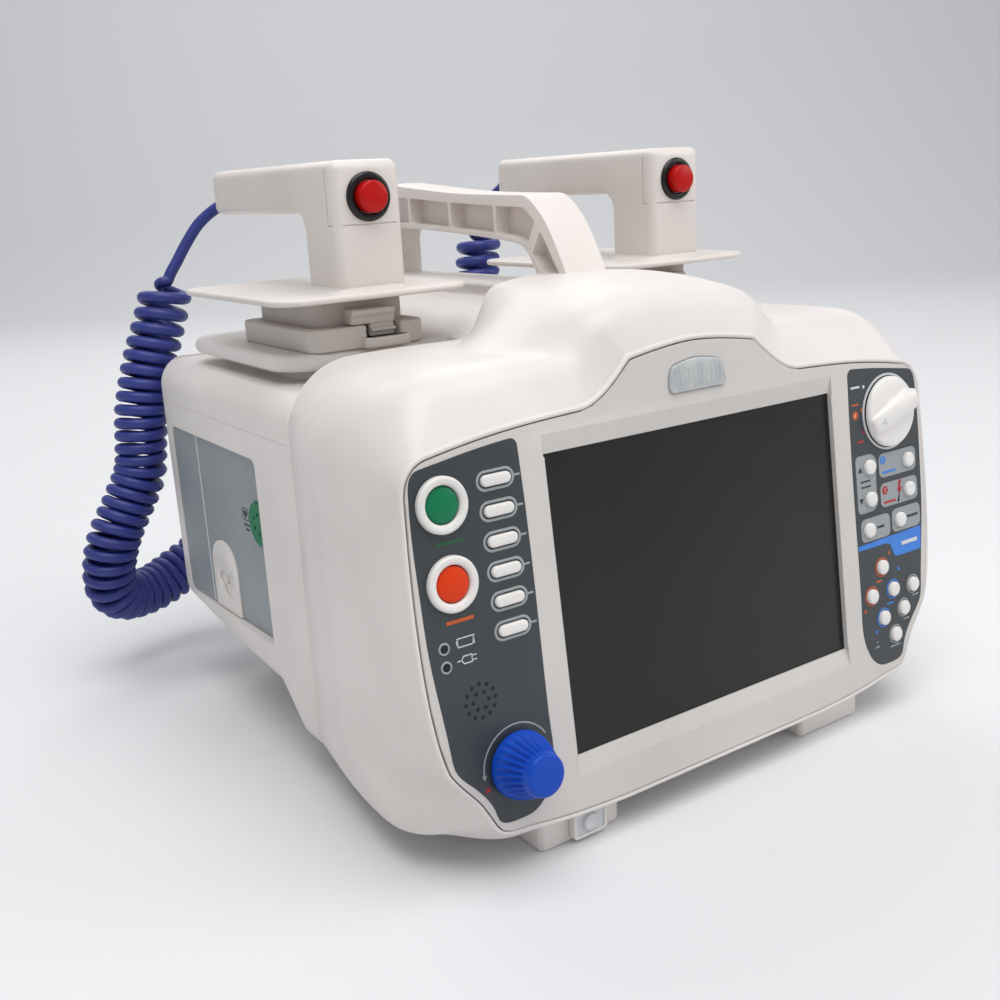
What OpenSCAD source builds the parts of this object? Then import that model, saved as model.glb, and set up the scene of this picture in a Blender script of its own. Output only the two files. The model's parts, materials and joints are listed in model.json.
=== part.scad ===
// Portable defibrillator monitor with two lift-off paddles on curly cords.
// Millimetres, +Z up, +Y to the rear, +X to the user's right.
// The origin is under the middle of the object, on the surface that it stands on.

/* [Case] */
// Half width of the front shell at its widest
half_w = 157; // [154:0.5:160]
// Height of the shell's shoulders
shoulder_z = 205; // [203:0.5:207]
// Height of the shell's underside
base_z = 15; // [13:0.5:16]
// Wall of the moulded shells
wall = 3; // [2.5:0.1:3.5]
// Y of the joint between the front and rear shells
joint_y = -14; // [-16:0.5:-12]
// Y of the rear face
rear_y = 158.6; // [154:0.2:162]
// Half width of the rear shell
rear_half_w = 150; // [148:0.5:151]
// Top of the rear shell
rear_top_z = 191; // [190:0.5:192]

/* [Front panel] */
// How far the panel leans back, in degrees
panel_tilt = 6.8; // [5:0.1:8]
// Y of the panel's face at the middle of the screen
panel_y = -122.1; // [-123:0.1:-121]
// Height of the middle of the screen
panel_z = 105.8; // [105:0.1:107]
// Thickness of the bezel
bezel_t = 4; // [3.5:0.1:4.5]
// Width of the visible screen
screen_w = 170.4; // [168:0.1:172]
// Height of the visible screen
screen_h = 128; // [126:0.1:129]
// Diameter of the round keys
key_d = 7.5; // [7:0.1:8]
// How far a key travels
key_travel = 1.2; // [0.8:0.1:1.4]

/* [Knobs] */
// Diameter of the encoder knob at its base
encoder_d = 28; // [26:0.5:29]
// How far the encoder knob stands out
encoder_h = 19.5; // [18:0.5:21]
// Diameter of the mode knob
mode_d = 35; // [33:0.5:36]
// Diameter of both shafts
shaft_d = 6; // [5:0.1:6.5]

/* [Carry handle] */
// Width of the handle
handle_w = 24.5; // [23:0.5:26]
// Depth of the pockets in its sides
handle_pocket = 8.5; // [7:0.5:9]

/* [Paddles] */
// Distance of each paddle from the middle plane
paddle_x = 93.5; // [93:0.1:94]
// Width of the guard plate
guard_w = 102; // [100:0.5:104]
// Length of the guard plate
guard_l = 128; // [124:0.5:130]
// Top of the guard plate
guard_z = 229.2; // [228:0.1:230]
// Width of the grip
grip_w = 35; // [33:0.5:36]
// Top of the grip
grip_z = 287.3; // [284:0.1:289]
// Depth of the grip bar
grip_h = 22.8; // [21:0.1:24]
// Length of the grip from the button face to its rear end
grip_l = 146; // [143:0.5:148]

/* [Cords] */
// Diameter of the cord
cord_d = 6.5; // [6:0.1:7]
// Outer diameter of the curly part
coil_d = 30; // [28:0.5:31]

/* [Hidden] */
$fn = 48;
gap = 0.25;         // gap round anything that moves in a hole
slip = 0.05;        // radial clearance of a shaft in its bush
overlay_t = 0.5;    // thickness of the printed overlays
curve_steps = 6;    // points on each curve of a section
panel_depth = 88.3; // depth of the bezel below the screen's middle
key_board_n = -10;  // front face of the key boards, along the panel's normal
board_t = 1.6;      // thickness of a circuit board
ring_d = 22.3;      // outer diameter of the large button rings
push_d = 14.4;      // diameter of the large buttons
soft_size = [13.8, 4.6];
led_d = 3.3;
foot_h = base_z;
screw_x = [-94, 94];
screw_y = [15, 95];
screw_d = 6;
tray_z = 202.5;     // top of the paddle tray
tray_y = [8, 138];  // front and rear edges of its plate
plate_t = 8;        // thickness of its plate
ridge_z = 225;      // top of the rail under the handle
paddle_y = 0;       // Y of the paddles' button faces
block_z = 206.5;    // underside of the electrode blocks
frame_z = 213;      // top of the socket frames
button_z = 271;     // height of the paddle buttons' axis
button_ring_d = 22;
button_d = 14.2;
button_travel = 3;
guard_t = 3;        // thickness of the guard plates
guard_y = -7;       // front edge of the guard plates
plug_hole_d = 16.4;

// Places on the front panel, [right, up] from the middle of the screen
PRINT = [-134.8, 53.5];
ALARM = [-134.5, 22.8];
LEDS = [[-141.6, -1.3], [-141.6, -8.7]];
SPEAKER = [-128.3, -26];
ENCODER = [-114.5, -56.5];
MODE = [125.7, 49.1];
SOFT_X = -109.5;
SOFT_TOP = 58.8;
SOFT_PITCH = 12;
SOFT_COUNT = 6;
function soft_at(i) = [SOFT_X, SOFT_TOP - SOFT_PITCH * i];
ENERGY_UP = [109.4, 23.7];
ENERGY_DOWN = [109, 7.6];
CHARGE = [139.1, 22.5];
SHOCK = [138.9, 7.4];
SYNC = [106.4, -7.7];
ECG = [130.4, -7];
PACER = [[114.5, -28.6], [105.5, -41.8], [122, -41.7], [137.7, -42.8], [129.4, -53.4],
    [113.6, -54.9], [121.9, -65.6]];
ROUND_KEYS = concat([ENERGY_UP, ENERGY_DOWN, CHARGE, SHOCK, SYNC, ECG], PACER);

// ---- curves and sections ----

function bezier(p, q, r, s, t) =
    pow(1 - t, 3) * p + 3 * t * pow(1 - t, 2) * q + 3 * t * t * (1 - t) * r + t * t * t * s;

// A section is a list of knots [point, heading in degrees, softness]; the heading lies in the first and
// last coordinates, and a knot's softness sets how far its heading holds.
function heading(k) = len(k[0]) == 2 ? [cos(k[1]), sin(k[1])] : [cos(k[1]), 0, sin(k[1])];
function between(a, b, t) = bezier(a[0], a[0] + heading(a) * a[2] * norm(b[0] - a[0]),
    b[0] - heading(b) * b[2] * norm(b[0] - a[0]), b[0], t);
function half_outline(knots) = concat(
    [for (i = [0 : len(knots) - 2], j = [0 : curve_steps - 1])
        between(knots[i], knots[i + 1], j / curve_steps)],
    [knots[len(knots) - 1][0]]);
function flip(p) = len(p) == 2 ? [-p[0], p[1]] : [-p[0], p[1], p[2]];
// The right half from the bottom to the crown, then the left half down again
function whole(half) = concat(half, [for (i = [len(half) - 2 : -1 : 0]) flip(half[i])]);

// The bezel's outline on the panel, and the same outline grown sideways by d
function seam_knots(d = 0) = [
    [[60, -panel_depth - d], 2, 0.39],
    [[112, -84 - d], 9, 0.39],
    [[127.4 + d, -79], 62, 0.39],
    [[135 + d, -65.5], 52, 0.3],
    [[145.8 + d, -50.5], 72, 0.2],
    [[149.5 + d, 58], 94, 0.39],
    [[138.5, 71 + d], 170, 0.39],
    [[65, 78 + d], 178, 0.39],
    [[35.7 + d / 2, 95.3 + d], 172, 0.05],
    [[0, 99.2 + d], 180, 0.39]];
// A point of the panel, n in front of its face
function on_panel(p, n) = [p[0], panel_y + p[1] * sin(panel_tilt) - n * cos(panel_tilt),
    panel_z + p[1] * cos(panel_tilt) + n * sin(panel_tilt)];
function seam_ring(d, n) = [for (p = whole(half_outline(seam_knots(d)))) on_panel(p, n)];

// The shell behind the panel, w inside its outer face
function crease_knots(w = 0) = [
    [[60, -128, base_z + w], 0, 0.39],
    [[116, -126, base_z + w], 0, 0.39],
    [[149.5 - w, -100, base_z + 0.3 + w], 5, 0.3],
    [[154.5 - w, -94, base_z + 5], 82, 0.3],
    [[half_w - w, -60, 50], 90, 0.3],
    [[half_w - 1.5 - w, -58, 165], 93, 0.3],
    [[122, -96, shoulder_z - 1 - w], 176, 0.39],
    [[62 - w, -101.5, shoulder_z + 0.5 - w], 180, 0.3],
    [[46 - w / 2, -101.5, shoulder_z + 15 - w], 160, 0.39],
    [[0, -101.5, shoulder_z + 21.5 - w], 180, 0.39]];
function middle_knots(w = 0) = [
    [[60, -100, base_z + w], 0, 0.39],
    [[128, -94, base_z + w], 0, 0.39],
    [[149.5 - w, -64, base_z + 0.5 + w], 5, 0.3],
    [[153.7 - w, -58, base_z + 5.5], 80, 0.3],
    [[half_w - 2.5 - w, -46, 42], 90, 0.3],
    [[half_w - 3.5 - w, -41, 168], 92, 0.3],
    [[120, -61.5, shoulder_z - 0.5 - w], 177, 0.39],
    [[96 - w, -61.5, shoulder_z - w], 180, 0.3],
    [[40, -61.5, shoulder_z + 22.5 - w], 165, 0.3],
    [[0, -61.5, shoulder_z + 27.5 - w], 180, 0.39]];
function rear_knots(w = 0, y = joint_y) = [
    [[60, y, base_z + w], 0, 0.39],
    [[130, y, base_z + w], 0, 0.39],
    [[143 - w / 2, y, base_z + 1.8 + w], 25, 0.3],
    [[rear_half_w - 1.5 - w, y, base_z + 9], 70, 0.3],
    [[rear_half_w - w, y, 35], 90, 0.39],
    [[rear_half_w - w, y, 170], 90, 0.39],
    [[118, y, shoulder_z - 1.5 - w], 177, 0.39],
    [[58 - w, y, shoulder_z - 1 - w], 180, 0.3],
    [[38, y, shoulder_z + 22 - w], 165, 0.3],
    [[0, y, shoulder_z + 25.5 - w], 180, 0.39]];
function ring_of(knots) = whole(half_outline(knots));

function sum(points, i = 0) = i == len(points) - 1 ? points[i] : points[i] + sum(points, i + 1);
function middle(points) = sum(points) / len(points);
// A closed solid through rings that all have the same number of points, each end a fan about its middle
module loft(rings) {
    n = len(rings[0]);
    last = len(rings) - 1;
    first_middle = n * len(rings);
    sides = [for (i = [0 : last - 1], j = [0 : n - 1])
        let (a = i * n + j, b = i * n + (j + 1) % n) each [[a, b, b + n], [a, b + n, a + n]]];
    ends = [for (j = [0 : n - 1], k = [0, 1]) let (next = (j + 1) % n)
        k == 0 ? [first_middle, next, j] : [first_middle + 1, last * n + j, last * n + next]];
    polyhedron(points = concat([for (r = rings) each r], [middle(rings[0]), middle(rings[last])]),
        faces = concat(sides, ends));
}

// ---- small shapes ----

module rounded(size, r) {
    x = size[0] / 2 - r;
    y = size[1] / 2 - r;
    polygon([for (c = [[x, y, 0], [-x, y, 90], [-x, -y, 180], [x, -y, 270]], a = [0 : 15 : 90])
        [c[0] + r * cos(c[2] + a), c[1] + r * sin(c[2] + a)]]);
}
module block(low, high) {
    translate(low) cube(high - low);
}
module capsule(size) {
    rounded(size, size[1] / 2 - 0.01);
}
// Draws its children in the panel's plane, with Z along its outward normal
module panel() {
    translate([0, panel_y, panel_z]) rotate([90 - panel_tilt, 0, 0]) children();
}
module at_panel(p, n = 0) {
    panel() translate([p[0], p[1], n]) children();
}
module each_side() {
    for (s = [-1, 1]) translate([s * paddle_x, 0, 0]) children();
}
// A profile in Y and Z, extruded along X, w wide and centred
module across(w) {
    translate([-w / 2, 0, 0]) rotate([90, 0, 90]) linear_extrude(w) children();
}
// A profile in X and Z, extruded along Y from y0 to y1
module along(y0, y1) {
    translate([0, y1, 0]) rotate([90, 0, 0]) linear_extrude(y1 - y0) children();
}

// ---- case ----

handle_foot_z = shoulder_z + 23.5;
handle_front = -39;
module handle_foot(grow) {
    block([-handle_w / 2 - grow, handle_front - grow, handle_foot_z],
        [handle_w / 2 + grow, joint_y + 1, 260]);
}
module front_shell() {
    color([0.89, 0.86, 0.84]) difference() {
        loft([seam_ring(0.6, 0), seam_ring(2.6, -2), ring_of(crease_knots()), ring_of(middle_knots()),
            ring_of(rear_knots())]);
        difference() {
            loft([seam_ring(0.35, 2), seam_ring(0.35, -6), ring_of(crease_knots(wall + 0.5)),
                ring_of(middle_knots(wall)), ring_of(rear_knots(wall, joint_y + 1))]);
            block([-half_w, joint_y - wall, rear_top_z - 8], [half_w, joint_y + 5, shoulder_z + 40]);
        }
        handle_foot(0.2);
    }
}

// The rear shell's outside, or its inside when w is the wall
module rear_form(w) {
    start = joint_y - (w > 0 ? 1 : 0);
    intersection() {
        along(start, rear_y - w) translate([0, (base_z + rear_top_z) / 2])
            rounded([2 * (rear_half_w - w), rear_top_z - base_z - 2 * w], 16 - w);
        across(2 * rear_half_w) polygon([[joint_y - 2, base_z + w], [4, base_z + w], [27, 34 + w],
            [80, 37 + w], [rear_y + 1, 46 + w], [rear_y + 1, 240], [joint_y - 2, 240]]);
    }
    along(start, rear_y - 12 - w)
        translate([0, base_z + 35]) rounded([2 * (112 - w), 70 - 2 * w], 8 - w);
}
label_low = [29, 59];
label_high = [145, 154];
label_depth = 5;        // depth of each side recess at its front end
label_rear_depth = 0.8; // and at its rear end
label_t = 0.5;
// The recess's floor at y: it slopes out to the rear
function floor_x(y) = rear_half_w - label_depth
    + (label_depth - label_rear_depth) * (y - label_low[0]) / (label_high[0] - label_low[0]);
module label_outline(grow) {
    translate((label_low + label_high) / 2) rounded(label_high - label_low + 2 * grow * [1, 1], 4);
}
// What lies over the sloping floors of both recesses, from inner to outer past the floor
module over_floor(inner, outer, grow) {
    ends = [label_low[0] - grow, label_high[0] + grow];
    for (m = [0, 1]) mirror([m, 0, 0]) intersection() {
        translate([rear_half_w, 0, 0]) across(30) label_outline(grow);
        linear_extrude(rear_top_z) polygon([
            [floor_x(ends[0]) + inner, ends[0]], [floor_x(ends[1]) + inner, ends[1]],
            [floor_x(ends[1]) + outer, ends[1]], [floor_x(ends[0]) + outer, ends[0]]]);
    }
}
ecg_at = [39, 119.5];
ecg_d = 22;
inlet_at = [91, 75];
inlet_w = 32;
inlet_size = [20, 17];
// The inlet's cover plate, in Y and Z
module inlet_plate(grow) {
    foot = label_low[1] + 0.7;
    hull() {
        translate([inlet_at[0], 83.4]) circle(inlet_w / 2 + grow);
        translate([inlet_at[0] - inlet_w / 2 - grow, foot - grow]) square([inlet_w + 2 * grow, 10]);
    }
}
module rear_shell() {
    color([0.89, 0.86, 0.84]) difference() {
        rear_form(0);
        difference() {
            rear_form(wall);
            over_floor(-wall, 10, wall);
        }
        over_floor(0, 10, 0);
        // Recess for the paddle tray
        translate([0, (joint_y + 156) / 2, rear_top_z - 2]) linear_extrude(10)
            rounded([286, 156 - joint_y + 0.2], 12);
        // Ways through the side for the electrocardiogram socket and the inlet
        translate([-rear_half_w - 1, ecg_at[0], ecg_at[1]]) rotate([0, 90, 0])
            cylinder(d = ecg_d + 0.4, h = 12);
        translate([-rear_half_w + 5, 0, 0]) across(12) translate(inlet_at)
            square(inlet_size + 0.4 * [1, 1], center = true);
        for (x = screw_x, y = screw_y) translate([x, y, base_z - 1]) cylinder(d = screw_d, h = wall + 2);
        // Ways through the rear wall for the two cord plugs
        for (x = plug_x) translate([x, rear_y - wall - 1, plug_z]) rotate([-90, 0, 0])
            cylinder(d = plug_hole_d, h = 10);
    }
}

module window_hole(grow, n0, n1) {
    panel() translate([0, 0, n0]) linear_extrude(n1 - n0)
        square([screen_w + 2 * grow, screen_h + 2 * grow], center = true);
}
lens_knots = [[[14, 78], 0, 0.39], [[16.5, 80.5], 90, 0.39], [[15.5, 87], 110, 0.39],
    [[11, 90.5], 170, 0.39], [[0, 92], 180, 0.39]];
module lens_outline(grow) {
    offset(grow) polygon(whole(half_outline(lens_knots)));
}

// The left overlay's outline; the right one is its mirror image
overlay_knots = [[[97.3, -41], 270, 0.3], [[101.5, -72], 302, 0.39], [[114, -79.6], 0, 0.39],
    [[127.4, -75], 80, 0.39], [[135.6, -60.5], 50, 0.3], [[144.3, -47], 86, 0.39], [[149, 12], 90, 0.39],
    [[148.2, 60], 95, 0.39], [[143, 68.2], 172, 0.39],
    [[101, 73.2], 176, 0.39], [[97.5, 70], 268, 0.39], [[97.3, -41], 270, 0.3]];
module overlay_outline(side) {
    half = half_outline(overlay_knots);
    polygon([for (p = half) [side * p[0], p[1]]]);
}
module panel_holes(grow, n0, n1) {
    module drill(p, d) {
        at_panel(p, n0) cylinder(d = d, h = n1 - n0);
    }
    for (p = ROUND_KEYS) drill(p, key_d + 2 * grow);
    for (i = [0 : SOFT_COUNT - 1]) at_panel(soft_at(i), n0) linear_extrude(n1 - n0)
        capsule(soft_size + [2 * grow, 2 * grow]);
    for (p = LEDS) drill(p, led_d + 0.2);
    for (p = [ENCODER, MODE]) drill(p, shaft_d + 2);
    for (i = [0 : 11]) drill(SPEAKER + 6.9 * [cos(30 * i), sin(30 * i)], 1.6);
    for (i = [0 : 5]) drill(SPEAKER + 3.6 * [cos(60 * i), sin(60 * i)], 1.6);
}
module front_bezel() {
    color([0.8, 0.78, 0.75]) difference() {
        panel() translate([0, 0, -bezel_t]) linear_extrude(bezel_t)
            polygon(whole(half_outline(seam_knots())));
        window_hole(0, -bezel_t - 1, 1);
        window_hole(5.3, -bezel_t - 1, -2.5);
        // Shallow slopes above and below the screen
        panel() for (m = [0, 1]) mirror([0, m, 0]) across(screen_w + 1) polygon([[screen_h / 2 - 1, -1.6],
            [screen_h / 2, -1.6], [screen_h / 2 + 8, 0], [screen_h / 2 + 8, 1], [screen_h / 2 - 1, 1]]);
        panel() for (s = [-1, 1]) translate([0, 0, -overlay_t]) linear_extrude(2) overlay_outline(s);
        panel_holes(gap, -bezel_t - 1, 1);
        for (p = [PRINT, ALARM]) at_panel(p, -bezel_t - 1) cylinder(d = push_d + 2 * gap, h = 8);
        panel() translate([0, 0, -bezel_t - 1]) linear_extrude(8) lens_outline(0.2);
    }
}
module panel_overlays() {
    color([0.25, 0.28, 0.3]) difference() {
        panel() for (s = [-1, 1]) translate([0, 0, -overlay_t]) linear_extrude(overlay_t) overlay_outline(s);
        panel_holes(gap, -2, 1);
        for (p = [PRINT, ALARM]) at_panel(p, -2) cylinder(d = ring_d + 0.2, h = 4);
    }
}
module display_window() {
    color([0.15, 0.15, 0.15]) window_hole(5, -4.5, -2.5);
}
module lcd_module() {
    color([0.5, 0.52, 0.54]) window_hole(9, -14, -4.5);
}
module alarm_lens() {
    color([0.75, 0.78, 0.8]) panel() translate([0, 0, -bezel_t])
        linear_extrude(bezel_t + 1.2) lens_outline(0);
}
module button_rings() {
    color([0.92, 0.91, 0.89]) for (p = [PRINT, ALARM]) at_panel(p) rotate_extrude()
        polygon([[push_d / 2 + gap, -overlay_t], [ring_d / 2, -overlay_t], [ring_d / 2, 1.2],
            [ring_d / 2 - 0.8, 2.2], [ring_d / 2 - 1.8, 2.5], [ring_d / 2 - 2.6, 2.2],
            [push_d / 2 + gap, 0.6]]);
}

// ---- keys, buttons and knobs ----

module push_button(p) {
    at_panel(p) rotate_extrude() polygon([[0, -8.2], [3, -8.2], [3, -5.4], [9, -5.4], [9, -bezel_t],
        [push_d / 2, -bezel_t], [push_d / 2, 0.6], [push_d / 2 - 0.8, 1.4], [4.5, 2], [0, 2.2]]);
}
module print_button() {
    color([0.12, 0.55, 0.35]) push_button(PRINT);
}
module alarm_button() {
    color([0.9, 0.32, 0.1]) push_button(ALARM);
}
module soft_key(i) {
    color([0.92, 0.91, 0.89]) at_panel(soft_at(i)) {
        translate([0, 0, -bezel_t]) linear_extrude(bezel_t + 1.4) capsule(soft_size);
        translate([0, 0, -5.4]) linear_extrude(5.4 - bezel_t) rounded([17.5, 9], 3);
        translate([0, 0, -8.2]) cylinder(d = 4, h = 3);
    }
}
module round_key(p) {
    color([0.92, 0.91, 0.89]) at_panel(p) rotate_extrude() polygon([
        [0, -8.2], [2, -8.2], [2, -5.4], [5, -5.4], [5, -bezel_t],
        [key_d / 2, -bezel_t], [key_d / 2, 1.3], [key_d / 2 - 0.5, 1.8], [0, 2]]);
}
module encoder_knob() {
    base_r = encoder_d / 2;
    cap_r = encoder_d * 0.3;
    color([0.1, 0.3, 0.78]) at_panel(ENCODER) {
        rotate_extrude() polygon([[0, 0.6], [base_r - 1, 0.6], [base_r, 2], [base_r, 4], [base_r - 0.8, 6],
            [base_r - 2.6, 10.5], [base_r - 4.4, encoder_h * 0.74], [cap_r + 0.4, encoder_h * 0.84],
            [cap_r, encoder_h * 0.9], [cap_r, encoder_h - 1], [cap_r - 1, encoder_h], [0, encoder_h]]);
        translate([0, 0, -17]) cylinder(d = shaft_d, h = 18);
    }
}
module mode_knob() {
    r = mode_d / 2;
    color([0.92, 0.91, 0.89]) at_panel(MODE) {
        rotate_extrude()
            polygon([[0, 0.6], [r - 0.5, 0.6], [r, 1.2], [r, 2], [r - 1, 3.2], [r - 3, 3.8], [0, 4.2]]);
        translate([0, 0, -17]) cylinder(d = shaft_d, h = 18);
        // The grip bar slopes down to the pointer's end
        rotate([0, 0, 215]) intersection() {
            rotate([90, 0, 0]) translate([0, 0, -5]) linear_extrude(10) polygon([
                [-r, 1.2], [r - 0.2, 1.2], [r - 0.6, 3.2], [r - 6, 5.4], [-r + 4, 9],
                [-r + 0.8, 8.6], [-r, 7]]);
            cylinder(r = r + 1, h = 20);
        }
    }
}
module rotary_switches() {
    color([0.2, 0.2, 0.2]) for (s = [[ENCODER, 15], [MODE, 24]]) at_panel(s[0]) difference() {
        union() {
            translate([0, 0, key_board_n - board_t - 9]) linear_extrude(9) square(s[1], center = true);
            translate([0, 0, key_board_n - board_t]) cylinder(d = 9, h = board_t + 3);
        }
        translate([0, 0, -19]) cylinder(d = shaft_d + 2 * slip, h = 20);
    }
}
module led_light_pipes() {
    color([0.85, 0.85, 0.8]) for (p = LEDS) at_panel(p, key_board_n)
        cylinder(d = led_d, h = -key_board_n + 0.3);
}
module speaker() {
    color([0.3, 0.3, 0.3]) at_panel(SPEAKER) rotate_extrude() polygon([[0, -15], [9, -15], [9, -11], [14, -7],
        [14, -bezel_t], [10, -bezel_t], [8, -6], [0, -7]]);
}
module key_boards() {
    low = key_board_n - board_t;
    color([0.15, 0.4, 0.25]) difference() {
        for (b = [[[-143, -12], [-96.5, 66]], [[-127, -72], [-98, -42]], [[98, -45], [143, 66]],
            [[98, -58], [134, -44]], [[98, -72], [127, -57]]])
            panel() translate([0, 0, low]) linear_extrude(board_t) translate(b[0]) square(b[1] - b[0]);
        for (p = [ENCODER, MODE]) at_panel(p, low - 1) cylinder(d = 9, h = board_t + 2);
    }
}

// ---- inside ----

module main_board() {
    color([0.15, 0.4, 0.25]) block([-125, -84, 40], [125, -84 + board_t, 170]);
    color([0.3, 0.3, 0.3]) {
        block([-60, -84 + board_t, 80], [-10, -72, 130]);
        block([20, -84 + board_t, 70], [90, -66, 100]);
    }
    color([0.7, 0.7, 0.7]) for (x = [-118, 118]) block([x - 5, -92, base_z + wall + 0.5], [x + 5, -84, 60]);
}
module battery() {
    color([0.2, 0.25, 0.35]) translate([0, 60, base_z + wall]) linear_extrude(38) rounded([150, 90], 4);
}
module shock_capacitor() {
    color([0.75, 0.75, 0.78]) translate([-60, 60, 90]) rotate([0, 90, 0]) cylinder(d = 52, h = 120);
    color([0.3, 0.3, 0.3]) for (x = [-45, 35]) difference() {
        block([x, 40, base_z + wall + 38], [x + 10, 80, 90]);
        translate([x - 1, 60, 90]) rotate([0, 90, 0]) cylinder(d = 52, h = 12);
    }
}

// ---- underneath and on the sides ----

foot_x = [58.6, 101.9];
module feet() {
    mid = (foot_x[0] + foot_x[1]) / 2;
    color([0.87, 0.84, 0.82]) for (s = [-1, 1]) {
        translate([s * mid, -110, 0]) linear_extrude(foot_h) rounded([foot_x[1] - foot_x[0], 27], 3);
        translate([s * mid, 125, 0]) linear_extrude(foot_h) rounded([foot_x[1] - foot_x[0], 27], 3);
    }
}
latch_x = -78;
module foot_latch() {
    color([0.8, 0.8, 0.79]) {
        block([latch_x - 9, -127.6, 2], [latch_x + 9, -123.6, 14.4]);
        translate([latch_x, -127.6, 8]) rotate([90, 0, 0]) cylinder(d = 8, h = 1.6);
    }
}
module side_labels() {
    color([0.52, 0.56, 0.58]) difference() {
        over_floor(0, label_t, -0.5);
        translate([-rear_half_w, ecg_at[0], ecg_at[1]]) rotate([0, 90, 0]) cylinder(d = ecg_d + 0.8, h = 12);
        translate([-rear_half_w, 0, 0]) across(24) inlet_plate(0.3);
    }
}
module ecg_socket() {
    color([0.1, 0.55, 0.3]) translate([-rear_half_w + 10, ecg_at[0], ecg_at[1]]) rotate([0, -90, 0])
        difference() {
        union() {
            cylinder(d = ecg_d, h = 7.5);
            translate([0, 0, -1]) cylinder(d = ecg_d + 4, h = 2.9);
        }
        for (i = [0 : 5]) rotate([0, 0, 60 * i]) translate([5, 0, 3]) cylinder(d = 2, h = 10);
    }
}
module power_inlet() {
    x = -floor_x(inlet_at[0]);
    slope = atan((label_depth - label_rear_depth) / (label_high[0] - label_low[0]));
    color([0.9, 0.88, 0.86]) difference() {
        union() {
            translate([x, inlet_at[0], 0]) rotate(slope) translate([-0.7, -inlet_at[0], 0])
                across(1.4) inlet_plate(0);
            translate([x + 6, 0, 0]) across(12) translate(inlet_at) square(inlet_size, center = true);
        }
        // The three joined openings for the lead's plug
        for (p = [[-4.4, 2.6], [4.4, 2.6], [0, -3.2]])
            translate([x - 3, inlet_at[0] + p[0], inlet_at[1] + p[1]]) rotate([0, 90, 0])
                cylinder(d = 8, h = 12);
    }
}
module case_screws() {
    color([0.6, 0.6, 0.6]) for (x = screw_x, y = screw_y) translate([x, y, base_z + 0.4])
        rotate_extrude() polygon([[0, 0.8], [1, 0], [screw_d / 2, 0], [screw_d / 2, 2], [1.5, 2],
            [1.5, 10], [0, 10]]);
}

// ---- top ----

tray_w = 278;
module paddle_tray() {
    low = rear_top_z - 2;
    mid = (tray_y[0] + tray_y[1]) / 2;
    color([0.9, 0.88, 0.86]) {
        // The plate, its edges rounded all round, on a narrower base
        intersection() {
            translate([0, mid, tray_z - plate_t]) linear_extrude(plate_t)
                rounded([tray_w, tray_y[1] - tray_y[0]], 20);
            along(tray_y[0] - 1, tray_y[1] + 1) translate([0, tray_z - plate_t / 2])
                rounded([tray_w, plate_t], plate_t / 2 - 0.1);
            across(tray_w) translate([mid, tray_z - plate_t / 2])
                rounded([tray_y[1] - tray_y[0], plate_t], plate_t / 2 - 0.1);
        }
        translate([0, mid, low]) linear_extrude(tray_z - plate_t / 2 - low)
            rounded([tray_w - 28, tray_y[1] - tray_y[0] - 24], 12);
        along(joint_y + 1.2, 152) polygon(whole(half_outline([
            [[52, tray_z - 2], 180, 0.3], [[50, tray_z], 178, 0.39], [[16.5, tray_z + 15], 178, 0.39],
            [[16, ridge_z - 2], 90, 0.1], [[14, ridge_z], 180, 0.39],
            [[0, ridge_z], 180, 0.1]])));
    }
}

handle_top = [[handle_front, 228.5], [-38, 231], [-31.5, 242.5], [-25.8, 251.3], [-20.5, 257.6],
    [-14.3, 262.9], [-9.5, 266], [-4.3, 267.6], [10, 268], [52, 269.5], [90, 272.4], [125, 275.5],
    [140, 276], [147, 273], [150, 266], [150, 225]];
handle_under = [[137, 225], [136.6, 245], [132, 250.5], [111, 251.5], [64, 249.5], [20, 246.5], [4, 245],
    [-4, 243], [-9, 238.5], [-13, 232.5], [-15.8, 228.5]];
// The pockets between the upper and lower rims, in Y and Z, and the ribs that part them
pocket_top = [[147, 266], [143, 270], [113, 268.5], [65, 265.2], [21, 262.8], [-5, 261.8], [-14.3, 255.3],
    [-24, 243], [-32, 232], [-33, 230.5]];
pocket_low = [[-19.5, 230.5], [-11.4, 240], [-8.5, 243.6], [6.7, 248.1], [20, 249.2], [64, 251.8],
    [111, 254.6], [139.5, 254.6], [139.5, 231], [147, 231]];
rib_y = [19.6, 62.5, 105];
rib_t = 2.4;
module pockets() {
    difference() {
        polygon(concat(pocket_top, pocket_low));
        for (y = rib_y) translate([y - rib_t / 2, 240]) square([rib_t, 40]);
        polygon([[-14.3, 257], [-20, 252.5], [-11.6, 238.5], [-8.6, 242]]);
    }
}
module carry_handle() {
    color([0.9, 0.87, 0.85]) difference() {
        across(handle_w) polygon(concat(handle_top, handle_under));
        for (s = [-1, 1]) translate([s * (handle_w / 2 - handle_pocket / 2 + 0.5), 0, 0])
            across(handle_pocket + 1) pockets();
    }
}

// ---- paddles ----

block_size = [48, 66];
block_mid = [0, 50];
frame_size = [62, 84];
module paddle_sockets() {
    color([0.75, 0.71, 0.67]) each_side() difference() {
        union() {
            translate([0, block_mid[1], tray_z]) linear_extrude(frame_z - tray_z) rounded(frame_size, 8);
            block([-5, 4, tray_z], [19, 15, tray_z + 5]);
        }
        translate([0, block_mid[1], block_z - 1]) linear_extrude(20) rounded(block_size + [1, 1], 6);
        // Notch that the block's hook drops into
        block([-2, 5, tray_z + 3], [16, 19, frame_z + 1]);
    }
}
module electrode_block(s) {
    color([0.59, 0.55, 0.52]) translate([s * paddle_x, 0, 0]) {
        translate([0, block_mid[1], block_z]) linear_extrude(guard_z - guard_t - block_z)
            rounded(block_size, 5.5);
        block([0, 10, frame_z - 1], [14, 18, frame_z + 5]);
        block([0, 10, tray_z + 5], [14, 12.5, frame_z + 5]);
    }
}
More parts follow.
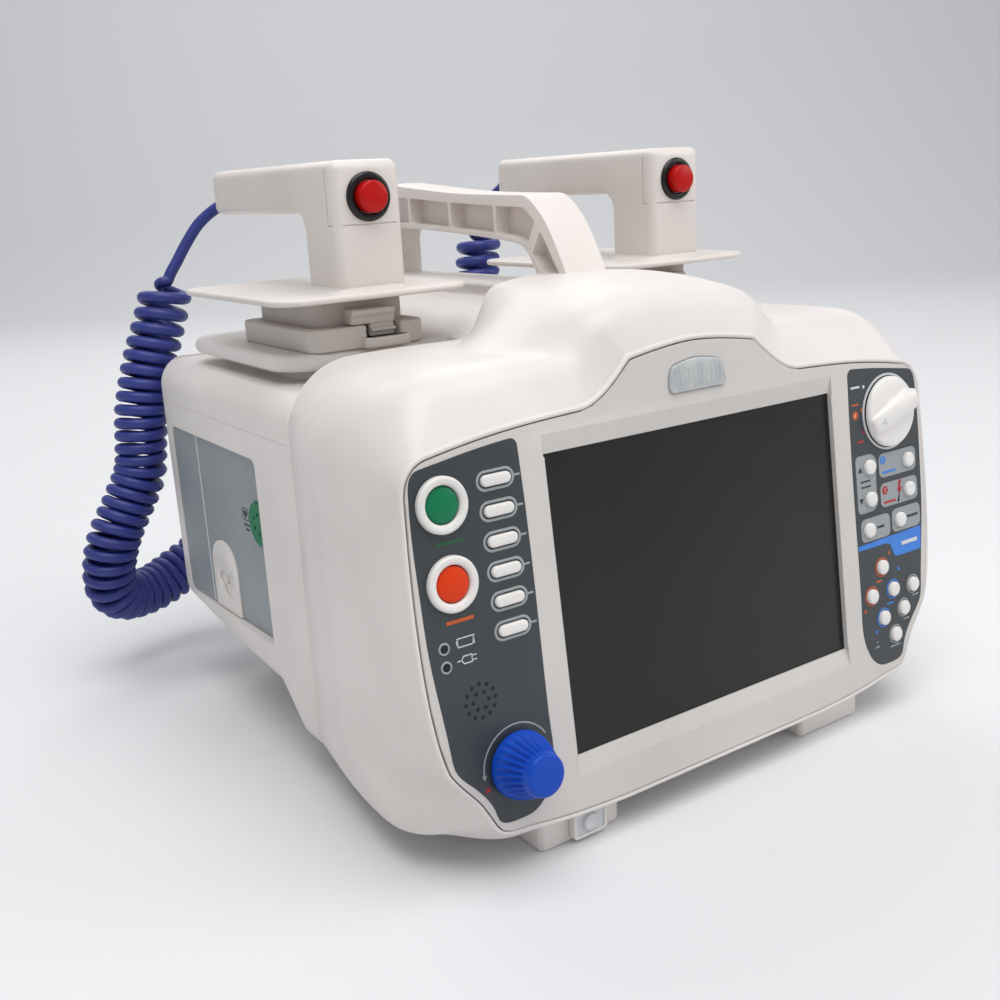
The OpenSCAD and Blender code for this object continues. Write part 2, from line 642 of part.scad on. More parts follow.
module button_bore(s, d, y0, y1) {
    translate([s * paddle_x, paddle_y + y0, button_z]) rotate([-90, 0, 0]) cylinder(d = d, h = y1 - y0);
}
module paddle_shell(s) {
    low = grip_z - grip_h;
    color([0.89, 0.86, 0.84]) difference() {
        translate([s * paddle_x, paddle_y, 0]) {
            // Guard plate, with its top edge stepped in
            translate([0, guard_y + guard_l / 2, guard_z - guard_t]) linear_extrude(guard_t - 1)
                rounded([guard_w, guard_l], 14);
            translate([0, guard_y + guard_l / 2, guard_z - 2]) linear_extrude(2)
                rounded([guard_w - 1.6, guard_l - 1.6], 13.2);
            // Column and grip bar
            intersection() {
                across(grip_w) polygon([[0, guard_z - 1], [0, grip_z - 4], [1.2, grip_z - 1.2],
                    [4, grip_z], [grip_l - 5, grip_z], [grip_l - 1.5, grip_z - 1.5],
                    [grip_l, grip_z - 5], [grip_l, low + 7],
                    [grip_l - 2, low + 2], [grip_l - 7, low], [43, low], [38, low - 1.6], [35.2, low - 6],
                    [34.5, low - 12], [34.5, guard_z - 1]]);
                along(-1, grip_l + 1) translate([0, grip_z - 40]) rounded([grip_w, 80], 5);
                translate([0, grip_l / 2, 200]) linear_extrude(100) rounded([grip_w, grip_l], 5);
            }
        }
        button_bore(s, button_ring_d + 0.1, -1, 5);
        button_bore(s, button_d - 3.5, -1, 20);
    }
}
module button_ring(s) {
    color([0.05, 0.05, 0.05]) difference() {
        union() {
            button_bore(s, button_ring_d, -1, 5);
            button_bore(s, button_ring_d - 2, -2, 0);
        }
        button_bore(s, button_d + 0.6, -3, button_travel - 0.5);
        button_bore(s, button_d - 5, 0, 6);
    }
}
module paddle_button(s) {
    color([0.8, 0.1, 0.08]) translate([s * paddle_x, paddle_y, button_z]) rotate([90, 0, 0]) rotate_extrude()
        polygon([[0, -12], [4.5, -12], [4.5, 1], [button_d / 2, 1], [button_d / 2, 5.4],
            [button_d / 2 - 1, 6.4], [4.5, 6.9], [0, 7]]);
}

// ---- cords ----

// Routes of the two cords, from the rear end of each grip to the plugs in the rear wall
plug_x = [-95, 28];
plug_z = 76;
left_lead = [[-93.5, 146, 272], [-93.5, 155, 272], [-96, 164, 271], [-102, 171, 267], [-110, 175, 260],
    [-118, 176, 250], [-125, 176, 240], [-130.4, 176, 232.6]];
left_coil = [[-131, 176, 231], [-137, 176, 214], [-144, 176, 196], [-151, 176, 178], [-156, 176, 160],
    [-159, 176, 142], [-162, 176, 124], [-171, 176, 107], [-181, 176, 90], [-186, 178, 74], [-186, 183, 59],
    [-179, 190, 49], [-167, 197, 45], [-152, 203, 46], [-136, 206, 52], [-120, 205, 60], [-106, 200, 68],
    [-97, 192, 74], [-95, 184, 76], [-95, 175, 76]];
right_lead = [[93.5, 146, 272], [93.5, 155, 272], [92, 164, 270], [89, 171, 264], [86, 175, 255],
    [83.3, 176.9, 246.6]];
right_coil = [[83, 177, 245], [80, 178, 228], [78, 178, 200], [77, 178, 165], [77, 178, 130], [76, 180, 98],
    [73, 184, 72], [66, 189, 55], [56, 193, 48], [45, 194, 52], [36, 192, 62], [30, 188, 71], [28, 182, 76],
    [28, 175, 76]];

function unit(v) = v / norm(v);
function tangent(route, i) =
    unit(route[min(i + 1, len(route) - 1)] - route[max(i - 1, 0)]);
// A ring square to the route: its first axis is as level as it can be
function ring(route, i, r, sides) =
    let (t = tangent(route, i), u = unit(cross(t, [0.1, 1, 0.05])), v = cross(t, u))
    [for (k = [0 : sides - 1]) route[i] + r * (cos(360 * k / sides) * u + sin(360 * k / sides) * v)];
module tube(route, d, sides) {
    loft([for (i = [0 : len(route) - 1]) ring(route, i, d / 2, sides)]);
}
module cord(route, d, sides) {
    color([0.12, 0.16, 0.45]) tube(route, d, sides);
}
module cord_plugs() {
    color([0.15, 0.15, 0.17]) for (x = plug_x) translate([x, rear_y - wall, plug_z]) rotate([-90, 0, 0])
        rotate_extrude() polygon([[0, -6], [8, -6], [8, wall], [10, wall], [10, 12], [6, 19.4], [0, 19.4]]);
}

// Everything above is drawn with Y = 0 where the paddles' buttons are; the origin goes to the middle
knob_front_y = panel_y + (ENCODER[1] - encoder_d * 0.3 + 1) * sin(panel_tilt) - encoder_h * cos(panel_tilt);
middle_y = (rear_y + knob_front_y) / 2;
translate([0, -middle_y, 0]) {
    front_shell();
    rear_shell();
    front_bezel();
    panel_overlays();
    display_window();
    lcd_module();
    alarm_lens();
    button_rings();
    print_button();
    alarm_button();
    soft_key(0);  // soft_key_1
    soft_key(1);  // soft_key_2
    soft_key(2);  // soft_key_3
    soft_key(3);  // soft_key_4
    soft_key(4);  // soft_key_5
    soft_key(5);  // soft_key_6
    round_key(ENERGY_UP);  // energy_up_key
    round_key(ENERGY_DOWN);  // energy_down_key
    round_key(CHARGE);  // charge_key
    round_key(SHOCK);  // shock_key
    round_key(SYNC);  // sync_key
    round_key(ECG);  // ecg_key
    round_key(PACER[0]);  // pacer_key_1
    round_key(PACER[1]);  // pacer_key_2
    round_key(PACER[2]);  // pacer_key_3
    round_key(PACER[3]);  // pacer_key_4
    round_key(PACER[4]);  // pacer_key_5
    round_key(PACER[5]);  // pacer_key_6
    round_key(PACER[6]);  // pacer_key_7
    encoder_knob();
    mode_knob();
    rotary_switches();
    led_light_pipes();
    speaker();
    key_boards();
    main_board();
    battery();
    shock_capacitor();
    feet();
    foot_latch();
    side_labels();
    ecg_socket();
    power_inlet();
    case_screws();
    paddle_tray();
    carry_handle();
    paddle_sockets();
    paddle_shell(-1);  // left_paddle_shell
    electrode_block(-1);  // left_electrode_block
    button_ring(-1);  // left_button_ring
    paddle_button(-1);  // left_paddle_button
    paddle_shell(1);  // right_paddle_shell
    electrode_block(1);  // right_electrode_block
    button_ring(1);  // right_button_ring
    paddle_button(1);  // right_paddle_button
    cord_plugs();
    cord(left_lead, cord_d, 8);  // left_cord_lead
    cord(left_coil, coil_d, 12);  // left_cord_coil
    cord(right_lead, cord_d, 8);  // right_cord_lead
    cord(right_coil, coil_d, 12);  // right_cord_coil
}
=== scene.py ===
import math
import json

import bmesh
import bpy
from mathutils import Matrix, Vector


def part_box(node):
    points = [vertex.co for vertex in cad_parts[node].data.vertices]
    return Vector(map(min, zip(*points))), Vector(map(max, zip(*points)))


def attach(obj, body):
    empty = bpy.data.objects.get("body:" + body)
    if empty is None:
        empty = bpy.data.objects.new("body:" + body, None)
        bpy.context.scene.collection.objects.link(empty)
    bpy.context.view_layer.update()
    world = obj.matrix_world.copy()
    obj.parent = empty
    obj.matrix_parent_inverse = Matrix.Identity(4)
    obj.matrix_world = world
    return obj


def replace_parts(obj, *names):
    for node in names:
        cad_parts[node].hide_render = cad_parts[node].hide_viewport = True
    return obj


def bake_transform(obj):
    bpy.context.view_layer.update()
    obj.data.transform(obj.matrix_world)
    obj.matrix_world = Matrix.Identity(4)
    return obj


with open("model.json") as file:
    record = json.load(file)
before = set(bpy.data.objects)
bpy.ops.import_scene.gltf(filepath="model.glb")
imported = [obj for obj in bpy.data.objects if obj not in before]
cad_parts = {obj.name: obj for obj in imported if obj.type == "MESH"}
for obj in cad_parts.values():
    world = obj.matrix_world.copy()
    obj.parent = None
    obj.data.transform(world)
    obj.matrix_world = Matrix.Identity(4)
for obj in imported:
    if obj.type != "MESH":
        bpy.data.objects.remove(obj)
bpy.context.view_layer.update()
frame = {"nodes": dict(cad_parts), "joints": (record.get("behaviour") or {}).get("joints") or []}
nodes = frame["nodes"]

MM = 0.001
# Pieces are drawn in millimetres with Y = 0 at the faces of the paddles' buttons, and the frame's origin
# lies this far behind them
MIDDLE_Y = 4.7856
TO_FRAME = Matrix.Scale(MM, 4) @ Matrix.Translation((0, -MIDDLE_Y, 0))
FROM_FRAME = TO_FRAME.inverted()


# ---- camera, light and floor ----


def make_camera():
    """A camera at the photograph's viewing angle."""
    data = bpy.data.cameras.new("camera")
    data.lens = 40.8
    data.sensor_width = 36
    data.clip_start = 0.01
    cam = bpy.data.objects.new("camera", data)
    bpy.context.scene.collection.objects.link(cam)
    right = Vector((0.8234, -0.5651, -0.0514)).normalized()
    ahead = Vector((0.5333, 0.8016, -0.2703)).normalized()
    up = right.cross(ahead)
    cam.matrix_world = Matrix.Translation((-0.3428, -0.4733, 0.2745)) @ Matrix(
        (right, up, -ahead)).transposed().to_4x4()
    bpy.context.scene.camera = cam


def make_light(name, place, target, size, power):
    data = bpy.data.lights.new(name, "AREA")
    data.shape = "RECTANGLE"
    data.size, data.size_y = size
    data.energy = power
    lamp = bpy.data.objects.new(name, data)
    bpy.context.scene.collection.objects.link(lamp)
    lamp.location = place
    lamp.rotation_euler = (Vector(target) - Vector(place)).to_track_quat("-Z", "Y").to_euler()


MIDDLE = (0, 0, 0.1)
# Each lamp's place, aim, size in metres and watts
LAMPS = {
    "top_lamp": ((-0.2, -0.5, 1.9), MIDDLE, (1.8, 1.4), 27),
    "right_lamp": ((1.5, -1.1, 1.0), MIDDLE, (1.0, 1.2), 9),
    "back_lamp": ((0.3, 1.6, 1.7), MIDDLE, (2.0, 1.0), 12),
    "wall_lamp": ((0.5, 1.2, 2.4), (1.5, 3.2, 1.5), (2.0, 1.0), 17)}


def make_floor():
    """A pale floor that curves up into a pale grey wall."""
    floor_front = -2.5
    bend_y = 2.2
    bend_r = 1.2
    wall_top = 4.0
    half_wide = 5
    bend = [math.radians(a) for a in range(0, 91, 6)]
    depth = [floor_front] + [bend_y + bend_r * math.sin(a) for a in bend] + [bend_y + bend_r]
    height = [0.0] + [bend_r - bend_r * math.cos(a) for a in bend] + [wall_top]
    bm = bmesh.new()
    rows = [[bm.verts.new((x, y, z)) for x in (-half_wide, half_wide)] for y, z in zip(depth, height)]
    for a, b in zip(rows, rows[1:]):
        bm.faces.new((a[0], a[1], b[1], b[0]))
    mesh = bpy.data.meshes.new("studio_floor")
    bm.to_mesh(mesh)
    floor = bpy.data.objects.new("studio_floor", mesh)
    bpy.context.scene.collection.objects.link(floor)
    floor.rotation_euler = (0, 0, math.radians(-33))
    for polygon in mesh.polygons:
        polygon.use_smooth = True
    mesh.materials.append(plain_material("studio_grey", (0.745, 0.748, 0.756), 0.8))


def make_studio():
    """The floor and wall, with soft lamps above and to the sides."""
    make_floor()
    for name, settings in LAMPS.items():
        make_light(name, *settings)
    scene = bpy.context.scene
    scene.view_settings.view_transform = "Standard"
    world = bpy.data.worlds.new("studio_world")
    scene.world = world
    world.use_nodes = True
    sky = world.node_tree.nodes["Background"].inputs
    sky["Color"].default_value = (0.88, 0.90, 0.93, 1)
    sky["Strength"].default_value = 0.50


# ---- materials ----


def plain_material(name, color, rough):
    material = bpy.data.materials.new(name)
    material.use_nodes = True
    shader = material.node_tree.nodes["Principled BSDF"]
    shader.inputs["Base Color"].default_value = (*color, 1)
    shader.inputs["Roughness"].default_value = rough
    return material


class Graph:
    """Adds nodes and links to one material."""

    def __init__(self, material):
        self.tree = material.node_tree
        self.shader = self.tree.nodes["Principled BSDF"]

    def feed(self, node, inputs):
        """Links a socket, or sets a plain value, on each named input of a node."""
        for key, value in inputs.items():
            if isinstance(value, bpy.types.NodeSocket):
                self.tree.links.new(value, node.inputs[key])
            else:
                node.inputs[key].default_value = value

    def add(self, kind, inputs, **settings):
        node = self.tree.nodes.new(kind)
        for key, value in settings.items():
            setattr(node, key, value)
        self.feed(node, inputs)
        return node

    def noise(self, scale, detail=3.0):
        place = self.add("ShaderNodeTexCoord", {}).outputs["Object"]
        inputs = {"Vector": place, "Scale": scale, "Detail": detail, "Roughness": 0.55}
        return self.add("ShaderNodeTexNoise", inputs).outputs["Fac"]

    def ramp(self, value, low, high):
        """Turns one range of a value into another; low and high are (from, to)."""
        inputs = {"Value": value, "From Min": low[0], "From Max": high[0], "To Min": low[1],
                  "To Max": high[1]}
        return self.add("ShaderNodeMapRange", inputs).outputs["Result"]

    def mix(self, share, a, b):
        """A blend of two colours."""
        return self.add("ShaderNodeMix", {0: share, 6: a, 7: b}, data_type="RGBA").outputs[2]

    def rounded_normal(self, radius):
        return self.add("ShaderNodeBevel", {"Radius": radius}, samples=4).outputs["Normal"]

    def edges(self, rounded):
        """Near 1 along sharp edges and 0 elsewhere."""
        flat_normal = self.add("ShaderNodeNewGeometry", {}).outputs["Normal"]
        dot = self.add("ShaderNodeVectorMath", {0: rounded, 1: flat_normal}, operation="DOT_PRODUCT")
        return self.ramp(dot.outputs["Value"], (0.99, 0.0), (0.80, 1.0))

    def bump(self, height, strength, distance, normal=None):
        inputs = {"Height": height, "Strength": strength, "Distance": distance}
        if normal:
            inputs["Normal"] = normal
        self.feed(self.shader, {"Normal": self.add("ShaderNodeBump", inputs).outputs["Normal"]})


def shifted(color, gain, lift=0.0):
    """A paler or darker colour, with its alpha."""
    return tuple(min(1, c * gain + lift) for c in color) + (1,)


def moulded(name, color, rough, grain=1400.0, strength=0.35, coat=0.0, drift=0.05, edge_wear_and_highlight=0.25, shine=0.5):
    """Moulded plastic: a fine grain, slow drifts of colour and gloss, and edges painted paler, partly as wear
    by use and partly as a painted highlight.
    """
    grain_depth = 0.00004
    edge_radius = 0.0006
    material = plain_material(name, color, rough)
    g = Graph(material)
    drifts = g.ramp(g.noise(14.0), (0.3, 0.0), (0.7, 1.0))
    body = g.mix(drifts, shifted(color, 1 - drift), shifted(color, 1 + drift, 0.004))
    rounded_normal = g.rounded_normal(edge_radius)
    # Painted highlight and wear: sharp edges are painted paler in the base colour
    share = g.add("ShaderNodeMath", {0: g.edges(rounded_normal), 1: edge_wear_and_highlight}, operation="MULTIPLY").outputs[0]
    g.feed(g.shader, {
        "Base Color": g.mix(share, body, shifted(color, 1.08, 0.02)),
        "Roughness": g.ramp(g.noise(60.0, 5.0), (0.3, rough - 0.05), (0.7, rough + 0.06)),
        "Specular IOR Level": shine,
        "Coat Weight": coat,
        "Coat Roughness": 0.2})
    g.bump(g.noise(grain, 2.0), strength, grain_depth, rounded_normal)
    return material


PRINT_COLORS = {
    "white": (0.62, 0.63, 0.63), "grey": (0.33, 0.35, 0.36), "field": (0.30, 0.32, 0.335),
    "blue": (0.035, 0.20, 0.66), "orange": (0.55, 0.09, 0.01), "red": (0.42, 0.010, 0.015),
    "green": (0.006, 0.085, 0.035), "dark": (0.02, 0.022, 0.025)}


def make_materials():
    m = {}
    m["case"] = moulded("case_plastic", (0.745, 0.700, 0.670), 0.42, strength=0.25)
    m["bezel"] = moulded("bezel_plastic", (0.62, 0.585, 0.553), 0.48, grain=1100.0, strength=0.5)
    m["tray"] = moulded("tray_plastic", (0.74, 0.70, 0.67), 0.4)
    m["handle"] = moulded("handle_plastic", (0.76, 0.70, 0.66), 0.42)
    m["paddle"] = moulded("paddle_plastic", (0.72, 0.665, 0.625), 0.40, coat=0.1)
    m["key"] = moulded("key_plastic", (0.78, 0.75, 0.72), 0.34, strength=0.15, coat=0.15)
    m["overlay"] = moulded("overlay_film", (0.031, 0.039, 0.045), 0.40, grain=2600.0, strength=0.5,
                           drift=0.08)
    m["green"] = moulded("green_plastic", (0.004, 0.180, 0.074), 0.38, coat=0.1, shine=0.15)
    m["orange"] = moulded("orange_plastic", (0.70, 0.042, 0.001), 0.36, coat=0.1, shine=0.15)
    m["blue"] = moulded("blue_plastic", (0.002, 0.060, 0.46), 0.36, coat=0.1, edge_wear_and_highlight=0.35, shine=0.2)
    m["red"] = moulded("red_plastic", (0.46, 0.002, 0.001), 0.26, strength=0.1, coat=0.15, shine=0.15)
    m["black"] = moulded("black_plastic", (0.004, 0.004, 0.005), 0.2, strength=0.1, edge_wear_and_highlight=0.2, shine=0.4)
    m["grey"] = moulded("grey_plastic", (0.42, 0.43, 0.435), 0.45)
    m["socket"] = moulded("socket_plastic", (0.66, 0.605, 0.56), 0.46)
    m["electrode"] = moulded("electrode_plastic", (0.50, 0.445, 0.41), 0.42)
    m["label"] = moulded("label_film", (0.27, 0.295, 0.31), 0.45, grain=2200.0, strength=0.4)
    m["board"] = moulded("circuit_board", (0.02, 0.13, 0.05), 0.4)
    m["wrap"] = moulded("battery_wrap", (0.03, 0.05, 0.10), 0.4)
    m["metal"] = moulded("metal_can", (0.60, 0.60, 0.62), 0.35, grain=500.0)
    m["steel"] = moulded("screw_steel", (0.55, 0.55, 0.55), 0.3, grain=900.0)
    for look in ("metal", "steel"):
        m[look].node_tree.nodes["Principled BSDF"].inputs["Metallic"].default_value = 1.0
    m["cord"] = moulded("cord_jacket", (0.019, 0.031, 0.215), 0.45, grain=900.0, strength=0.2, drift=0.12)
    for shade, color in PRINT_COLORS.items():
        m["print_" + shade] = moulded("print_" + shade, color, 0.5, strength=0.1, edge_wear_and_highlight=0)
    m["silver"] = moulded("silver_ring", (0.62, 0.63, 0.65), 0.28, grain=700.0)
    # Near-black: the own colour of the speaker, lamp pipes and lamp faces, and painted shade in the speaker
    # grille's holes
    m["dark"] = moulded("black_and_hole_shade", (0.006, 0.006, 0.007), 0.8, edge_wear_and_highlight=0)
    m["screen"] = screen_material()
    m["lens"] = lens_material()
    return m


def screen_material():
    """A dark matt display under a clear window, with a faint uneven sheen."""
    material = plain_material("screen_glass", (0.009, 0.009, 0.0095), 0.3)
    g = Graph(material)
    cloud = g.ramp(g.noise(9.0, 5.0), (0.3, 0.0), (0.75, 1.0))
    g.feed(g.shader, {
        "Base Color": g.mix(cloud, (0.007, 0.007, 0.0075, 1), (0.012, 0.012, 0.0125, 1)),
        "Roughness": g.ramp(g.noise(40.0, 6.0), (0.3, 0.27), (0.7, 0.36)),
        "Specular IOR Level": 0.35})
    g.bump(g.noise(300.0), 0.12, 0.0001)
    return material


def lens_material():
    """Frosted, slightly clear plastic over a lamp."""
    material = plain_material("lens_plastic", (0.47, 0.48, 0.485), 0.28)
    g = Graph(material)
    frost = g.ramp(g.noise(120.0), (0.35, 0.0), (0.65, 1.0))
    g.feed(g.shader, {
        "Base Color": g.mix(frost, (0.42, 0.43, 0.435, 1), (0.52, 0.53, 0.53, 1)),
        "Roughness": g.ramp(g.noise(80.0), (0.3, 0.22), (0.7, 0.34)),
        "Subsurface Weight": 0.25,
        "Subsurface Radius": (0.002, 0.002, 0.002),
        "Coat Weight": 0.4})
    g.bump(g.noise(700.0), 0.2, 0.0001)
    return material


# ---- measures taken from the frame, in millimetres ----


def box_mm(node):
    low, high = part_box(node)
    return FROM_FRAME @ Vector(low), FROM_FRAME @ Vector(high)


def middle_mm(node):
    low, high = box_mm(node)
    return (low + high) / 2


PRESS_AXIS = Vector(next(j for j in frame["joints"] if j["name"] == "print_press")["axis"]).normalized()
PANEL_OUT = -PRESS_AXIS
PANEL_UP = Vector((1, 0, 0)).cross(PRESS_AXIS)
WINDOW_DEPTH = 3.5  # the middle of the display window lies this far behind the panel's face
PANEL_MID = middle_mm("display_window") + PANEL_OUT * WINDOW_DEPTH


def on_panel(s, t, n):
    """A point s right of the screen's middle, t up the panel and n in front of its face."""
    return PANEL_MID + Vector((s, 0, 0)) + PANEL_UP * t + PANEL_OUT * n


def spot(node, ahead=0.3):
    """Where a key or knob stands on the panel, from the part of it that stands out."""
    points = [FROM_FRAME @ v.co - PANEL_MID for v in nodes[node].data.vertices]
    out = [(p.x, p.dot(PANEL_UP)) for p in points if p.dot(PANEL_OUT) > ahead]
    s = [p[0] for p in out]
    t = [p[1] for p in out]
    return (min(s) + max(s)) / 2, (min(t) + max(t)) / 2


# ---- curves ----


def bezier(p, q, r, s, t):
    u = 1 - t
    return u ** 3 * p + 3 * t * u * u * q + 3 * t * t * u * r + t ** 3 * s


def heading(knot):
    """A knot is (point, heading in degrees, softness); the heading lies in the first and last coordinates."""
    angle = math.radians(knot[1])
    if len(knot[0]) == 2:
        return Vector((math.cos(angle), math.sin(angle)))
    return Vector((math.cos(angle), 0, math.sin(angle)))


def half_outline(knots, steps=18):
    points = []
    for a, b in zip(knots, knots[1:]):
        start, stop = Vector(a[0]), Vector(b[0])
        reach = (stop - start).length
        leave = start + heading(a) * a[2] * reach
        arrive = stop - heading(b) * b[2] * reach
        points += [bezier(start, leave, arrive, stop, i / steps) for i in range(steps)]
    return points + [Vector(knots[-1][0])]


def whole(half):
    """The right half from the bottom to the crown, then the left half down again."""
    mirrored = []
    for p in reversed(half[:-1]):
        other = p.copy()
        other.x = -other.x
        mirrored.append(other)
    return half + mirrored


def through(points, steps=8):
    """A smooth curve through the points."""
    ends = [2 * points[0] - points[1]] + points + [2 * points[-1] - points[-2]]
    curve = []
    for a, b, c, d in zip(ends, ends[1:], ends[2:], ends[3:]):
        for i in range(steps):
            t = i / steps
            curve.append(0.5 * (2 * b + (c - a) * t + (2 * a - 5 * b + 4 * c - d) * t * t
                                + (3 * b - a - 3 * c + d) * t ** 3))
    return curve + [points[-1]]


def lengths(path):
    total = [0.0]
    for a, b in zip(path, path[1:]):
        total.append(total[-1] + (b - a).length)
    return total


def evenly(path, step):
    """The same path with its points a step apart."""
    along = lengths(path)
    count = max(2, round(along[-1] / step))
    points = []
    k = 0
    for i in range(count + 1):
        s = along[-1] * i / count
        while k < len(path) - 2 and along[k + 1] < s:
            k += 1
        t = (s - along[k]) / max(along[k + 1] - along[k], 1e-9)
        points.append(path[k].lerp(path[k + 1], min(max(t, 0), 1)))
    return points


def frames(path):
    """Two axes square to the path at each point, that turn as little as they can along it."""
    result = []
    side = Vector((0, 1, 0))
    for i in range(len(path)):
        ahead = (path[min(i + 1, len(path) - 1)] - path[max(i - 1, 0)]).normalized()
        side = (side - ahead * side.dot(ahead)).normalized()
        result.append((side, ahead.cross(side)))
    return result


def circle(radius, count, middle=(0.0, 0.0)):
    turn = [2 * math.pi * i / count for i in range(count)]
    return [(middle[0] + radius * math.cos(a), middle[1] + radius * math.sin(a)) for a in turn]


def arc(middle, radius, start, stop, steps=8):
    """Points of a round stretch of an outline or lathe profile."""
    angles = [math.radians(start + (stop - start) * i / steps) for i in range(steps + 1)]
    return [(middle[0] + radius * math.cos(a), middle[1] + radius * math.sin(a)) for a in angles]


def rounded(width, height, radius, middle, steps=6):
    """A rectangle with round corners, anticlockwise from its right side."""
    x = width / 2 - radius
    y = height / 2 - radius
    points = []
    for sx, sy, start in ((1, 1, 0), (-1, 1, 90), (-1, -1, 180), (1, -1, 270)):
        points += arc((middle[0] + sx * x, middle[1] + sy * y), radius, start, start + 90, steps)
    return points


# ---- meshes ----


def flat(x, y, z):
    return Vector((x, y, z))


def facing(x, z, y):
    """Places an outline that is drawn as it is seen from the front."""
    return Vector((x, y, z))


def sideways(y, z, x):
    """Places an outline that is drawn as it is seen from a side."""
    return Vector((x, y, z))


def mesh_object(name, bm):
    """An object of a mesh in millimetres, set into the frame."""
    bmesh.ops.recalc_face_normals(bm, faces=bm.faces)
    mesh = bpy.data.meshes.new(name)
    bm.to_mesh(mesh)
    bm.free()
    mesh.transform(TO_FRAME)
    obj = bpy.data.objects.new(name, mesh)
    bpy.context.scene.collection.objects.link(obj)
    return obj


def reshade(obj, sharp=35.0):
    """Smooth faces, with sharp edges past an angle."""
    obj.data.shade_smooth()
    obj.data.set_sharp_from_angle(angle=math.radians(sharp))


def finish_piece(name, bm, look, body="root", sharp=35.0):
    """Makes a piece of a mesh in millimetres. One with None as its body is left unattached to any body."""
    obj = mesh_object(name, bm)
    obj.data.materials.append(LOOKS[look])
    reshade(obj, sharp)
    if body:
        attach(obj, body)
    return obj


def add_loft(bm, rings, closed=False):
    """Faces between rings that have the same number of points, and over both ends unless they meet."""
    rows = [[bm.verts.new(p) for p in ring] for ring in rings]
    count = len(rows[0])
    pairs = list(zip(rows, rows[1:])) + ([(rows[-1], rows[0])] if closed else [])
    for a, b in pairs:
        for j in range(count):
            k = (j + 1) % count
            bm.faces.new((a[j], a[k], b[k], b[j]))
    if not closed:
        bm.faces.new(list(reversed(rows[0])))
        bm.faces.new(rows[-1])


def add_slab(bm, outline, low, high, place=on_panel, hole=None):
    """A flat shape between two levels; place turns (s, t, n) into a point."""
    def ring(points, n):
        return [place(p[0], p[1], n) for p in points]
    if hole is None:
        add_loft(bm, [ring(outline, low), ring(outline, high)])
    else:
        rings = [ring(outline, low), ring(outline, high), ring(hole, high), ring(hole, low)]
        add_loft(bm, rings, closed=True)


def slab_piece(name, look, outline, low, high, place=on_panel, hole=None, body="root"):
    """A piece made of one flat shape."""
    bm = bmesh.new()
    add_slab(bm, outline, low, high, place, hole)
    return finish_piece(name, bm, look, body)


def loft_piece(name, look, rings, body="root", sharp=35.0, closed=False):
    """A piece made of one loft."""
    bm = bmesh.new()
    add_loft(bm, rings, closed)
    return finish_piece(name, bm, look, body, sharp)


def turned(profile, place, count):
    """Rings of a profile of (radius, height) round an axis; place turns (x, y, height) into a point."""
    return [[place(x, y, height) for x, y in circle(max(radius, 0.001), count)] for radius, height in profile]


def add_lathe(bm, profile, place, count):
    add_loft(bm, turned(profile, place, count))


def at_spot(s, t):
    return lambda x, y, n: on_panel(s + x, t + y, n)


def tube(path, radii, sides):
    """Rings of a round tube along a path, with a radius for each point."""
    rings = []
    for here, r, (u, v) in zip(path, radii, frames(path)):
        rings.append([here + r * (math.cos(a) * u + math.sin(a) * v)
                      for a in (2 * math.pi * k / sides for k in range(sides))])
    return rings


def applied(obj):
    """Keeps what the piece's modifiers do as its mesh."""
    graph = bpy.context.evaluated_depsgraph_get()
    mesh = bpy.data.meshes.new_from_object(obj.evaluated_get(graph))
    obj.modifiers.clear()
    old = obj.data
    obj.data = mesh
    bpy.data.meshes.remove(old)


def bevelled(obj, width, segments, angle, sharp=None):
    """Rounds the edges of a piece, and shades it again if a sharp angle is given."""
    modifier = obj.modifiers.new("bevel", "BEVEL")
    modifier.width = width * MM
    modifier.segments = segments
    modifier.limit_method = "ANGLE"
    modifier.angle_limit = math.radians(angle)
    modifier.miter_outer = "MITER_ARC"
    applied(obj)
    if sharp:
        reshade(obj, sharp)


def cut(obj, bm):
    """Takes a mesh in millimetres away from a piece."""
    tool = mesh_object("cutter", bm)
    modifier = obj.modifiers.new("cut", "BOOLEAN")
    modifier.operation = "DIFFERENCE"
    modifier.solver = "EXACT"
    modifier.object = tool
    applied(obj)
    mesh = tool.data
    bpy.data.objects.remove(tool)
    bpy.data.meshes.remove(mesh)


def soften(node, look, width, segments):
    """A copy of a CAD node with its edges rounded, which stands for it."""
    bm = bmesh.new()
    bm.from_mesh(nodes[node].data)
    bmesh.ops.remove_doubles(bm, verts=bm.verts, dist=0.00001)
    bmesh.ops.dissolve_limit(bm, angle_limit=math.radians(0.5), verts=bm.verts, edges=bm.edges)
    bmesh.ops.transform(bm, matrix=FROM_FRAME, verts=bm.verts)
    obj = finish_piece(node + "_soft", bm, look)
    bevelled(obj, width, segments, 40, 35)
    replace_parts(obj, node)


def repaint(node, look):
    """Gives a CAD node a better material."""
    nodes[node].data.materials.clear()
    nodes[node].data.materials.append(LOOKS[look])
    reshade(nodes[node], 30)


# ---- cords ----

CORD_D = 6.5
COIL_D = 30.0
COIL_PITCH = 7.1
TURN_STEPS = 16
LEFT_LEAD = [(-93.5, 146, 272), (-93.5, 155, 272), (-96, 164, 271), (-102, 171, 267), (-110, 175, 260),
             (-118, 176, 250), (-125, 176, 240), (-131, 176, 231)]
LEFT_COIL = [(-137, 176, 214), (-144, 176, 196), (-151, 176, 178), (-156, 176, 160), (-159, 176, 142),
             (-162, 176, 124), (-171, 176, 107), (-181, 176, 90), (-186, 178, 74), (-186, 183, 59),
             (-179, 190, 49), (-167, 197, 45), (-152, 203, 46), (-136, 206, 52), (-120, 205, 60),
             (-106, 200, 68), (-97, 192, 74), (-95, 184, 76), (-95, 175, 76)]
RIGHT_LEAD = [(93.5, 146, 272), (93.5, 155, 272), (92, 164, 270), (89, 171, 264), (86, 175, 255),
              (83, 177, 245)]
